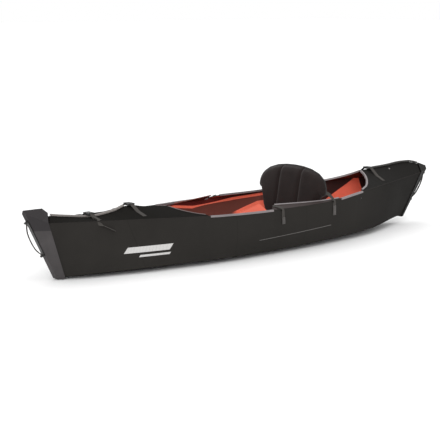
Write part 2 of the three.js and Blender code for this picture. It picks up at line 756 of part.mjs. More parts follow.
// Cross-section of an end cover, grown outwards by a distance, as a closed loop
function coverLoop({ topStation, footStation, ridgeStation, topShare }, growth, forward) {
  const foot = pointAt(footStation, chine(footStation).y, floorEdge(footStation).z);
  const shoulder = sheer(topStation);
  const top = ridge(ridgeStation);
  if (topShare) top.setZ(Math.max(shoulder.z, topShare * endOf(ridgeStation).headHeight));
  const grown = [
    innerCorner(mirrorPoint(foot, -1), foot, shoulder, -growth),
    innerCorner(foot, shoulder, top, -growth),
    innerCorner(shoulder, top, mirrorPoint(shoulder, -1), -growth),
  ];
  const loop = [...grown, mirrorPoint(grown[1], -1), mirrorPoint(grown[0], -1)];
  return loop.map((point) => point.clone().setX(point.x + forward));
}

// Wedge-shaped block round an end of the hull
function coverBlock(place, hoodShares, growth, extra) {
  const tip = Math.sign(place.topStation);
  const rows = Array.from({ length: cover.steps + 1 }, (unused, i) => {
    const t = i / cover.steps;
    const stations = Object.entries(place).map(([name, station]) => [name, mix(tip, station, t)]);
    const at = { ...Object.fromEntries(stations), topShare: hoodShares[i] };
    return coverLoop(at, growth, i === 0 ? tip * growth : 0);
  });
  if (extra) {
    const beyond = (extra * tip) / halfLength;
    const stations = Object.entries(place).map(([name, station]) => [name, station - beyond]);
    const at = { ...Object.fromEntries(stations), topShare: hoodShares[cover.steps] };
    rows.push(coverLoop(at, growth, 0));
  }
  const faces = [[0, 1, 3], [1, 2, 3], [0, 3, 4]];
  return toSolid(loftLoops(rows, faces));
}

function makeCovers() {
  const ends = { bow: [bowCover, bowHoodShares, finish.cover], stern: [sternCover, [], finish.darkCover] };
  for (const [name, [place, hoodShares, surface]] of Object.entries(ends)) {
    const outer = coverBlock(place, hoodShares, cover.clearance + cover.wall, 0);
    const inner = coverBlock(place, hoodShares, cover.clearance, cover.overrun);
    addPiece(`${name}_cover`, toGeometry(outer.subtract(inner)), surface);
  }
}

// Top line of a deck as it is faceted: points of the seam between two stations
function seamPoints(rows, fromX, toX) {
  const seam = rows.map(({ outer }) => new THREE.Vector3(outer[1].x, 0, outer[1].z));
  const low = Math.min(fromX, toX);
  const high = Math.max(fromX, toX);
  const inside = seam.filter((point) => point.x > low && point.x < high);
  const ends = [low, high].map((x) => seamAt(seam, x));
  return [ends[0], ...inside.sort((a, b) => a.x - b.x), ends[1]];
}

function seamAt(seam, x) {
  const sorted = [...seam].sort((a, b) => a.x - b.x);
  const i = Math.max(1, sorted.findIndex((point) => point.x >= x));
  const [a, b] = [sorted[i - 1], sorted[i]];
  return a.clone().lerp(b, (x - a.x) / (b.x - a.x));
}

// Height that clears a deck from its seam out to a reach on both sides
function seamHeight(rows, x, reach) {
  const crease = deckPoint(rows, x, 0);
  return Math.max(deckPoint(rows, x, 1).z, deckPoint(rows, x, 1 - reach / crease.y).z);
}

// Beads over the two deck seams
function makeRails() {
  const { halfWidth, height, shoulder, seat: gap } = rail;
  const outline = [
    [-halfWidth, gap], [halfWidth, gap], [halfWidth, height - shoulder], [halfWidth - shoulder, height],
    [shoulder - halfWidth, height], [-halfWidth, height - shoulder],
  ];
  const runs = {
    bow: [decks.bow[0].outer[1].x + trim.margin, halfLength * closingStraps.bow_strap_2.station - buckle.width],
    stern: [decks.stern[0].outer[1].x - trim.margin, halfLength * closingStraps.stern_strap.station + buckle.width],
  };
  for (const [name, [from, to]] of Object.entries(runs)) {
    const points = seamPoints(decks[name], from, to)
      .map((point) => point.clone().setZ(seamHeight(decks[name], point.x, halfWidth)));
    const frames = framesAlong(points, () => new THREE.Vector3(0, 0, 1));
    addPiece(`${name}_seam_rail`, sweep(outline, frames), finish.trim);
  }
}

// Point of a deck half's faceted top at a place along the boat: 0 is its crease, 1 its inner edge
function deckPoint(rows, x, share) {
  const sorted = [...rows].sort((a, b) => a.outer[0].x - b.outer[0].x);
  const at = sorted.map(({ outer }) => outer[0].clone().lerp(outer[1], share));
  return seamAt(at, x);
}

// Buckle socket: a flat box with a mouth, two side windows and a slot for its webbing
function socketSolid() {
  const half = buckle.width / 2;
  const inside = half - buckle.wall;
  const cavityEnd = buckle.socketLength - buckle.slotInset - buckle.slotLength - buckle.edge;
  const body = toSolid(boxBetween([-half, 0, 0], [half, buckle.socketLength, buckle.height]));
  const low = buckle.wall;
  const high = buckle.height - buckle.wall;
  const mouth = toSolid(boxBetween([-inside, -buckle.edge, low], [inside, cavityEnd, high]));
  const windows = toSolid(boxBetween(
    [-half - buckle.edge, buckle.windowInset, low],
    [half + buckle.edge, buckle.windowInset + buckle.windowLength, high],
  ));
  const slotStart = buckle.socketLength - buckle.slotInset - buckle.slotLength;
  const slot = toSolid(boxBetween(
    [-buckle.slotWidth / 2, slotStart, -buckle.edge],
    [buckle.slotWidth / 2, slotStart + buckle.slotLength, buckle.height + buckle.edge],
  ));
  return toGeometry(body.subtract(mouth).subtract(windows).subtract(slot));
}

// Buckle plug: a base with a webbing slot, a middle guide and two prongs that fit the socket
function plugSolid() {
  const half = buckle.width / 2;
  const reach = half - buckle.wall - buckle.clearance;
  const low = buckle.wall + buckle.clearance;
  const high = buckle.height - buckle.wall - buckle.clearance;
  const cavity = buckle.socketLength - buckle.slotInset - buckle.slotLength - buckle.edge;
  const tip = cavity - buckle.edge;
  const join = buckle.edge;
  const base = toSolid(boxBetween(
    [-half, -buckle.plugBase - buckle.clearance, 0], [half, -buckle.clearance, buckle.height],
  ));
  const slotStart = -buckle.clearance - buckle.plugBase + buckle.slotInset;
  const slot = toSolid(boxBetween(
    [-buckle.slotWidth / 2, slotStart, -buckle.edge],
    [buckle.slotWidth / 2, slotStart + buckle.slotLength, buckle.height + buckle.edge],
  ));
  const guide = toSolid(boxBetween(
    [-buckle.guideWidth / 2, -buckle.clearance - join, low], [buckle.guideWidth / 2, tip, high],
  ));
  const prongs = [-1, 1].map((side) => {
    const edges = [side * reach, side * (reach - buckle.prongWidth)].sort((a, b) => a - b);
    return toSolid(boxBetween([edges[0], -buckle.clearance - join, low], [edges[1], tip, high]));
  });
  return toGeometry(base.subtract(slot).add(guide).add(prongs[0]).add(prongs[1]));
}

// Flat webbing through points, with its underside on the points and its width across the run
function webbingSolid(points, ups, width) {
  const half = width / 2;
  const outline = [[-half, 0], [half, 0], [half, webbing.thickness], [-half, webbing.thickness]];
  return sweep(outline, framesAlong(points, (i) => ups[i]));
}

// Place on a deck half's top: 0 is its crease, 1 its inner edge, with the normal of the deck there
function deckPlace(rows, x, share) {
  const at = deckPoint(rows, x, share);
  const ahead = deckPoint(rows, x + webbing.width / 2, share);
  const behind = deckPoint(rows, x - webbing.width / 2, share);
  const across = deckPoint(rows, x, 1).sub(deckPoint(rows, x, 0));
  const up = ahead.clone().sub(behind).cross(across).normalize();
  if (up.z < 0) up.negate();
  const hollow = Math.max(0, ahead.sub(at).dot(up), behind.sub(at).dot(up));
  return { at: at.addScaledVector(up, hollow), up };
}

// Straps that hold the deck halves shut, each with a side-release buckle over the seam
function makeClosingStraps() {
  const upright = new THREE.Vector3(0, 0, 1);
  const centring = (buckle.socketLength - buckle.plugBase) / 2;
  for (const [name, { station, overRail, lift: onDeck }] of Object.entries(closingStraps)) {
    const rows = station < 0 ? decks.bow : decks.stern;
    const x = halfLength * station;
    const railTop = overRail ? seamHeight(rows, x, rail.halfWidth) + rail.height : 0;
    const stand = Math.max(railTop, seamHeight(rows, x, buckle.socketLength - centring)) + buckle.edge;
    const base = new THREE.Vector3(x, -centring, stand);
    for (const [piece, geometry] of [['socket', socketSolid()], ['plug', plugSolid()]]) {
      addPiece(`${name}_${piece}`, geometry.translate(base.x, base.y, base.z), finish.hardware);
    }
    const raised = (share, lift) => {
      const { at, up } = deckPlace(rows, x, share);
      return { at: at.addScaledVector(up, lift), up };
    };
    const plate = [raised(anchor.innerShare, onDeck), raised(anchor.outerShare, onDeck)];
    addPiece(
      `${name}_anchor`,
      webbingSolid(plate.map(({ at }) => at), plate.map(({ up }) => up), webbing.width + 2 * anchor.margin),
      finish.hardware,
    );
    const middle = base.z + (buckle.height - webbing.thickness) / 2;
    const ends = {
      right: { y: buckle.socketLength - centring + webbing.endGap, lift: webbing.thickness + 2 * onDeck },
      left: { y: buckle.plugBase + buckle.clearance + centring + webbing.endGap, lift: onDeck },
    };
    for (const [side, { y, lift }] of Object.entries(ends)) {
      const places = [
        { at: new THREE.Vector3(x, y, middle), up: upright },
        ...Object.values(strapShares).map((share) => raised(share, lift)),
      ];
      const points = places.map(({ at }) => mirrorPoint(at, SIDES[side]));
      const ups = places.map(({ up }) => mirrorPoint(up, SIDES[side]));
      addPiece(`${name}_webbing_${side}`, webbingSolid(points, ups, webbing.width), finish.webbing);
    }
  }
}

// Place on the outside of a side at a place along the boat and a height, with its outward normal
function sidePlace(x, z) {
  const points = sidePoints(x / halfLength);
  let i = 0;
  while (i < sideSteps - 1 && z > points[i + 1].z) i += 1;
  const [low, high] = [points[i], points[i + 1]];
  const at = low.clone().lerp(high, (z - low.z) / (high.z - low.z)).setX(x);
  return { at, up: acrossNormal(low, high) };
}

// Tab stitched to the outside of a side, from its foot up to its top
function tabPlaces(x, foot, top) {
  const steps = 4;
  return Array.from({ length: steps + 1 }, (unused, i) => {
    const { at, up } = sidePlace(x, mix(foot, top, i / steps));
    return { at: at.addScaledVector(up, webbing.sideLift), up };
  });
}

// Place over the crease at the top of a side
function overCrease(x) {
  const at = sheer(x / halfLength);
  const up = new THREE.Vector3(0, 1, 1).normalize();
  return { at: at.clone().addScaledVector(up, webbing.creaseLift), up };
}

function addStraps(piece, places, surface) {
  for (const [name, side] of Object.entries(SIDES)) {
    const points = places.map(({ at }) => mirrorPoint(at, side));
    const ups = places.map(({ up }) => mirrorPoint(up, side));
    addPiece(`${piece}_${name}`, webbingSolid(points, ups, webbing.narrow), surface);
  }
}

// Straps that hold the front of the folded-in strips down
function makeFrontStraps() {
  const onFlap = (x, share, lift) => {
    const crease = sheer(x / halfLength);
    const edge = flapEdge(x);
    const up = acrossNormal(crease, edge);
    return { at: crease.lerp(edge, share).addScaledVector(up, lift), up };
  };
  const along = (offset) => flap.start + offset;
  const above = (offset) => gunwaleHeight + offset;
  const places = [
    ...tabPlaces(along(fromFlap.strapTab), above(fromGunwale.frontTabFoot), above(fromGunwale.frontTabTop)),
    overCrease(along(fromFlap.strapCrease)),
    onFlap(along(fromFlap.strapMiddle), frontStrap.flapShare, webbing.sideLift + webbing.lift),
    onFlap(along(fromFlap.strapEdge), frontStrap.edgeShare, webbing.sideLift),
  ];
  addStraps('side_strap_front', places, finish.webbing);
}

// Straps from the shoulders of the seat back over the gunwales
function makeSeatStraps() {
  const outward = new THREE.Vector3(0, 1, 0);
  const along = (offset) => seatBack.x + offset;
  const above = (offset) => gunwaleHeight + offset;
  const free = (behind, inset, rise) => ({
    at: new THREE.Vector3(along(behind), cockpitHalfWidth - inset, above(rise)), up: outward,
  });
  const leaning = Math.tan(seatBack.lean) * (fromGunwale.strapStart - fromGunwale.seatPivot);
  const places = [
    ...tabPlaces(along(fromSeat.strapTab), above(fromGunwale.seatTabFoot), above(fromGunwale.seatTabTop)),
    overCrease(along(fromSeat.strapCrease)),
    free(fromSeat.strapMiddle, seatStrap.middleInset, fromGunwale.strapMiddle),
    free(fromSeat.strapStart + leaning, seatStrap.startInset, fromGunwale.strapStart),
  ];
  addStraps('seat_strap', places, finish.webbing);
}

// Value of a table of shares at a place, in straight runs
function tableAt(rows, place) {
  const i = Math.max(1, rows.findIndex((row) => row[0] >= place));
  const [a, b] = [rows[i - 1], rows[i]];
  return mix(a[1], b[1], (place - a[0]) / (b[0] - a[0]));
}

const crown = (share) => Math.sqrt(Math.max(0, 1 - share ** 4));

// Padded seat back with two upright channels, leaning aft about the line of its straps
function makeSeatBack() {
  const { foot, top, thickness, rim, channelAt, channelWidth, channelDepth } = seatBack;
  const halfWidth = cockpitHalfWidth - seatBack.inset;
  const fullShares = [0, 0.04, 0.12, 0.28, 0.5, 0.72, 0.88, 0.96, 1];
  const columns = [...seatColumnShares.slice(1).reverse().map((share) => -share), ...seatColumnShares];
  const rows = columns.map((column) => {
    const share = Math.abs(column);
    const low = mix(foot, top, tableAt(seatLowShares, share));
    const high = mix(foot, top, tableAt(seatHighShares, share));
    const y = column * halfWidth;
    const channel = channelDepth * Math.exp(-(((Math.abs(y) - channelAt) / channelWidth) ** 2));
    const front = fullShares.map((t) => {
      const rise = crown(2 * t - 1);
      const depth = rim + ((thickness - rim) * crown(share) - channel) * rise;
      return new THREE.Vector3(seatBack.x - depth, y, mix(low, high, t));
    });
    const back = [high, (low + high) / 2, low].map((z) => new THREE.Vector3(seatBack.x, y, z));
    return [...front, ...back];
  });
  const lean = (geometry) => geometry
    .translate(-seatBack.x, 0, -seatBack.pivotHeight)
    .rotateY(seatBack.lean)
    .translate(seatBack.x, 0, seatBack.pivotHeight);
  addPiece('seat_back', lean(loftLoops(rows, fanFrom(fullShares.length + 1, rows[0].length))), finish.seatFabric);

  const centre = mix(foot, top, seatBoard.centreShare);
  const half = [...seatLowShares, ...[...seatHighShares].reverse()];
  const ring = half.filter(([share]) => share > 0).map(([share, height]) => [
    share * halfWidth * seatBoard.widthShare,
    centre + (mix(foot, top, height) - centre) * seatBoard.heightShare,
  ]);
  const outline = [...ring, ...[...ring].reverse().map(([y, z]) => [-y, z])];
  const faces = [0, seatBoard.thickness].map((depth) =>
    outline.map(([y, z]) => new THREE.Vector3(seatBack.x + seatBoard.gap + depth, y, z)));
  addPiece('seat_back_board', lean(loftLoops(faces, fillOutline(outline))), finish.darkCover);
}

// Padded seat with two channels across it
function makeSeatPad() {
  const { underHalfWidth, halfWidth, topHalfWidth, sideHeight, edgeHeight, height, gap } = seatPad;
  const rear = seatBack.x - fromSeat.pad;
  const front = rear - seatPad.length;
  const floor = sheetThickness + floorPanel.lift + floorPanel.thickness + gap;
  const acrossShares = [-1, -0.93, -0.8, -0.55, -0.28, 0, 0.28, 0.55, 0.8, 0.93, 1];
  const endDrawShare = 0.86;
  const rows = padRowShares.map((share) => {
    const x = mix(front, rear, share);
    const along = crown(2 * share - 1);
    const draw = mix(endDrawShare, 1, along);
    const channel = padChannelShares.reduce((depth, at) => {
      const offset = ((share - at) * (rear - front)) / seatPad.channelWidth;
      return depth + seatPad.channelDepth * Math.exp(-(offset ** 2));
    }, 0);
    const body = mix(edgeHeight / height, 1, along);
    const top = acrossShares.map((t) => {
      const rise = (height - edgeHeight) * crown(t) * along - channel * crown(t);
      return new THREE.Vector3(x, t * topHalfWidth * draw, floor + edgeHeight * body + rise);
    });
    const middle = floor + sideHeight * body;
    return [
      new THREE.Vector3(x, -underHalfWidth * draw, floor),
      new THREE.Vector3(x, -halfWidth * draw, middle),
      ...top,
      new THREE.Vector3(x, halfWidth * draw, middle),
      new THREE.Vector3(x, underHalfWidth * draw, floor),
    ];
  });
  addPiece('seat_pad', loftLoops(rows, fanFrom(0, rows[0].length)), finish.foam);
}

// Floor panels, the front one hinged to the rear one
function makeFloor() {
  const { halfWidth, thickness, gap } = floorPanel;
  const [front, hinge, rear] = [placeShares.floorFront, placeShares.floorHinge, placeShares.floorRear]
    .map((share) => halfLength * share);
  const low = sheetThickness + floorPanel.lift;
  const spans = { front: [front, hinge - gap / 2], rear: [hinge + gap / 2, rear] };
  for (const [name, [from, to]] of Object.entries(spans)) {
    const box = boxBetween([from, -halfWidth, low], [to, halfWidth, low + thickness]);
    addPiece(`floor_${name}`, box, finish.innerSheet);
  }
}

// Foot bar: a sheet folded to an upturned V across the boat
function makeFootBar() {
  const { height, halfDepth, halfWidth, thickness } = footBar;
  const along = (offset) => halfLength * placeShares.footBar + offset;
  const slant = Math.hypot(height, halfDepth);
  const wide = (thickness * slant) / height;
  const tall = (thickness * slant) / halfDepth;
  const outline = [
    [-halfDepth, 0], [0, height], [halfDepth, 0], [halfDepth - wide, 0], [0, height - tall], [wide - halfDepth, 0],
  ];
  const base = sheetThickness + floorPanel.lift;
  const frames = [-halfWidth, halfWidth].map((y) => ({
    at: new THREE.Vector3(along(0), y, base),
    across: new THREE.Vector3(1, 0, 0),
    up: new THREE.Vector3(0, 0, 1),
  }));
  addPiece('foot_bar', sweep(outline, frames), finish.innerSheet);

  const outward = new THREE.Vector3(0, 1, 0);
  const besides = halfWidth + webbing.lift / 2;
  const inside = (x) => {
    const { at, up } = sidePlace(x, gunwaleHeight + fromGunwale.footStrap);
    return { at: at.addScaledVector(up, -sheetThickness - footStrap.inset - webbing.thickness), up };
  };
  addStraps('foot_strap', [
    { at: new THREE.Vector3(along(fromFootBar.strapStart), besides, footStrap.startHeight), up: outward },
    { at: new THREE.Vector3(along(fromFootBar.strapTurn), besides, footStrap.turnHeight), up: outward },
    inside(along(fromFootBar.strapReach)),
    inside(along(fromFootBar.strapEnd)),
  ], finish.webbing);
}

// Grab loops on the stems and the plates they turn in
function makeGrabLoops() {
  const sideways = new THREE.Vector3(0, 1, 0);
  for (const [name, { top, foot }] of Object.entries(stemLoops)) {
    const tip = name === 'bow' ? -1 : 1;
    const growth = cover.clearance + cover.wall;
    const stem = { topStation: tip, footStation: tip, ridgeStation: tip };
    const [low, high] = coverLoop(stem, growth, tip * growth);
    const face = (z) => low.clone().lerp(high, (z - low.z) / (high.z - low.z)).setY(0);
    const run = face(foot).sub(face(top)).normalize();
    const outward = run.clone().cross(sideways).normalize();
    if (outward.x * tip < 0) outward.negate();
    const plateTop = grabLoop.plateGap + grabLoop.plateThickness;
    const slab = (halfWidth, under, over, from, to) => {
      const outline = [[-halfWidth, under], [halfWidth, under], [halfWidth, over], [-halfWidth, over]];
      const frames = [from, to].map((at) => ({ at, across: sideways, up: outward }));
      return toSolid(sweep(outline, frames));
    };
    const past = (point, distance) => point.clone().addScaledVector(run, distance);
    const lugReach = plateTop + grabLoop.standoff * 2 - grabLoop.overlap;
    const lugStart = plateTop - grabLoop.overlap;
    const upper = [past(face(top), -grabLoop.lugLength), face(top)];
    const lower = [face(foot), past(face(foot), grabLoop.lugLength)];
    const plate = slab(grabLoop.plateHalfWidth, grabLoop.plateGap, plateTop, upper[0], lower[1])
      .add(slab(grabLoop.lugHalfWidth, lugStart, lugReach, ...upper))
      .add(slab(grabLoop.lugHalfWidth, lugStart, lugReach, ...lower));
    addPiece(`${name}_loop_plate`, toGeometry(plate), finish.darkCover);

    const from = past(face(top), grabLoop.endGap);
    const to = past(face(foot), -grabLoop.endGap);
    const axisOut = plateTop + grabLoop.standoff;
    const points = loopShares.map(([share, out]) =>
      from.clone().lerp(to, share).addScaledVector(outward, axisOut + grabLoop.bow * out));
    const [w, t] = [grabLoop.width / 2, grabLoop.thickness / 2];
    const frames = framesAlong(points, () => outward);
    for (const last of [0, frames.length - 1]) frames[last].up = outward;
    const loop = sweep([[-w, -t], [w, -t], [w, t], [-w, t]], frames);
    addPiece(`${name}_grab_loop`, loop, finish.webbing);
  }
}

// Carrying handle that swings between two mounts on the right side
function makeHandle() {
  const middle = halfLength * placeShares.handle;
  const height = gunwaleHeight + fromGunwale.handle;
  const ends = [-1, 1].map((way) => sidePlace(middle + (way * handle.span) / 2, height));
  const run = ends[1].at.clone().sub(ends[0].at).normalize();
  const flat = ends[0].up.clone().add(ends[1].up);
  const outward = flat.addScaledVector(run, -flat.dot(run)).normalize();
  const down = run.clone().cross(outward).normalize();
  if (down.z > 0) down.negate();
  const axis = ends.map(({ at }) => at.clone().addScaledVector(outward, handle.standoff));
  const half = handle.mountHalfWidth;
  const block = [
    [-half, handle.mountGap - handle.standoff], [half, handle.mountGap - handle.standoff],
    [half, handle.mountOver], [-half, handle.mountOver],
  ];
  const mounts = {
    handle_mount_front: [axis[0], axis[0].clone().addScaledVector(run, -handle.mountLength)],
    handle_mount_rear: [axis[1], axis[1].clone().addScaledVector(run, handle.mountLength)],
  };
  for (const [name, points] of Object.entries(mounts)) {
    const frames = points.map((at) => ({ at, across: down, up: outward }));
    addPiece(name, sweep(block, frames), finish.hardware);
  }
  const { endGap, shoulder, corner, turn, drop, section, span } = handle;
  const path = [
    [endGap, 0], [shoulder, 0], [shoulder + corner / 2, corner / 2], [shoulder + corner / 2, drop - corner],
    [shoulder + turn, drop],
  ];
  const both = [...path, ...[...path].reverse().map(([along, fall]) => [span - along, fall])];
  const points = both.map(([along, fall]) =>
    axis[0].clone().addScaledVector(run, along).addScaledVector(down, fall));
  const thin = section / 2;
  const frames = points.map((at, i) => {
    const ahead = points[Math.min(points.length - 1, i + 1)];
    const way = ahead.clone().sub(points[Math.max(0, i - 1)]).normalize();
    return { at, across: outward, up: way.clone().cross(outward).normalize() };
  });
  const outline = [[-thin, -thin], [thin, -thin], [thin, thin], [-thin, thin]];
  addPiece('carry_handle', sweep(outline, frames), finish.hardware);
}

makeBottom();
makeSides();
makeDecks();
makeFlaps();
makeGussets();
makeTrims();
makeCovers();
makeRails();
makeClosingStraps();
makeFrontStraps();
makeSeatStraps();
makeSeatBack();
makeSeatPad();
makeFloor();
makeFootBar();
makeGrabLoops();
makeHandle();

export default kayak;
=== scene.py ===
"""Looks of a folding kayak of creased twin-wall sheet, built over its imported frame."""

import json
import logging
import math
from dataclasses import dataclass, field
from enum import Enum

import bmesh
import bpy
import numpy as np
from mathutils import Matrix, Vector
from mathutils.bvhtree import BVHTree

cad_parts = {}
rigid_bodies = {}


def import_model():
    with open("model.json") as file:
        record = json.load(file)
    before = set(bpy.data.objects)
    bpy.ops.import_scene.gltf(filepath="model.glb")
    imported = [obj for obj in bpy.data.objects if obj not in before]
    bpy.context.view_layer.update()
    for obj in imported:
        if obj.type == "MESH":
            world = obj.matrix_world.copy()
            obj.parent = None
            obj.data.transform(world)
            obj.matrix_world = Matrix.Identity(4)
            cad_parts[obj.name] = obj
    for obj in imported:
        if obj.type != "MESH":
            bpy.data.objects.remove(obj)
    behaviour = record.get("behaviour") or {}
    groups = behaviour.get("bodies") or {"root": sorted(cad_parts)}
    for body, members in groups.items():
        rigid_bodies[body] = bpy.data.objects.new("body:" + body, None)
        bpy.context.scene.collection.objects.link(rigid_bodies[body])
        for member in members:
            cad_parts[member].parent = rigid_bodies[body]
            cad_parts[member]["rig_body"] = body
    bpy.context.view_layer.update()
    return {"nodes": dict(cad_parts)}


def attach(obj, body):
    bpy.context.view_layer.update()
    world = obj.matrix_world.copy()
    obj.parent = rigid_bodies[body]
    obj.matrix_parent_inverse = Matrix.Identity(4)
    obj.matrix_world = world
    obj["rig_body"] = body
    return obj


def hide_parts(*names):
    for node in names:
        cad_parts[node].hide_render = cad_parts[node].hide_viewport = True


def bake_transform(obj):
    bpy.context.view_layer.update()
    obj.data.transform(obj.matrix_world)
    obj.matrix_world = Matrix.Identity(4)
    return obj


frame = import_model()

log = logging.getLogger("kayak")

Socket = bpy.types.NodeSocket
Node = bpy.types.Node
Tree = bpy.types.NodeTree
Piece = bpy.types.Object
Mesh = bpy.types.Mesh
Rgb = tuple[float, float, float]
Way = tuple[float, float, float]
PathRow = tuple[float, float, float, float, float, float]


class Side(Enum):
    """The two sides of the boat, as the sign of Y."""

    LEFT = -1
    RIGHT = 1

    @property
    def word(self) -> str:
        """Name of the side in piece names."""
        return self.name.lower()


class Facing(Enum):
    """Which way the outer face of a sheet looks."""

    OUTWARD = "outward"
    UP = "up"
    DOWN = "down"


# Shader building blocks


class Nodes:
    """A node tree with short calls to add and join nodes."""

    def __init__(self, tree: Tree) -> None:
        """Keeps the tree.

        Args:
            tree: the material's or group's node tree.
        """
        self.tree = tree

    def add(self, kind: str, values: dict | None = None, **settings: object) -> Node:
        """Adds one node.

        Args:
            kind: the node's type, without its ShaderNode prefix.
            values: input values by socket name or index.
            settings: properties of the node.

        Returns:
            The new node.
        """
        node = self.tree.nodes.new(kind if kind.startswith("NodeGroup") else "ShaderNode" + kind)
        for key, value in settings.items():
            setattr(node, key, value)
        for key, value in (values or {}).items():
            node.inputs[key].default_value = value
        return node

    def join(self, out: Socket, into: Socket) -> None:
        """Joins one output socket to one input socket."""
        self.tree.links.new(out, into)

    def math(self, operation: str, a: object, b: object = 0.0, clamp: bool = False) -> Socket:
        """Adds a Math node.

        Args:
            operation: the operation's name.
            a: first socket or number.
            b: second socket or number.
            clamp: keeps the result from 0 to 1.

        Returns:
            The node's output socket.
        """
        node = self.add("Math", operation=operation, use_clamp=clamp)
        for slot, value in enumerate((a, b)):
            if isinstance(value, Socket):
                self.join(value, node.inputs[slot])
            else:
                node.inputs[slot].default_value = value
        return node.outputs[0]

    def blend(self, factor: object, a: object, b: object) -> Socket:
        """Mixes two colours.

        Args:
            factor: socket or number from 0 to 1.
            a: colour or socket at 0.
            b: colour or socket at 1.

        Returns:
            The mixed colour's socket.
        """
        node = self.add("Mix", data_type="RGBA")
        pairs = ((node.inputs[0], factor), (node.inputs[6], a), (node.inputs[7], b))
        for socket, value in pairs:
            if isinstance(value, Socket):
                self.join(value, socket)
            elif isinstance(value, tuple):
                socket.default_value = (*value, 1.0)
            else:
                socket.default_value = value
        return node.outputs[2]

    def spread(self, value: object, low: float, high: float, to_low: float = 0.0, to_high: float = 1.0) -> Socket:
        """Maps a number from one range to another, held inside it.

        Args:
            value: the socket to map.
            low: start of the range read.
            high: end of the range read.
            to_low: result at low.
            to_high: result at high.

        Returns:
            The mapped socket.
        """
        node = self.add("MapRange", {1: low, 2: high, 3: to_low, 4: to_high}, clamp=True)
        self.join(value, node.inputs[0])
        return node.outputs[0]

    def read(self, kind: str, vector: Socket, values: dict | None = None, **settings: object) -> Node:
        """Adds a node whose Vector input reads a socket.

        Args:
            kind: the node's type, without its ShaderNode prefix.
            vector: the socket that it reads.
            values: input values by socket name or index.
            settings: properties of the node.

        Returns:
            The new node.
        """
        node = self.add(kind, values, **settings)
        self.join(vector, node.inputs["Vector"])
        return node

    def plus(self, a: object, b: object, clamp: bool = False) -> Socket:
        """Sum of two sockets or numbers."""
        return self.math("ADD", a, b, clamp)

    def minus(self, a: object, b: object) -> Socket:
        """The first of two sockets or numbers, less the second."""
        return self.math("SUBTRACT", a, b)

    def times(self, product: object, *others: object, clamp: bool = False) -> Socket:
        """Product of sockets or numbers, taken in their order."""
        for other in others:
            product = self.math("MULTIPLY", product, other, clamp)
        return product


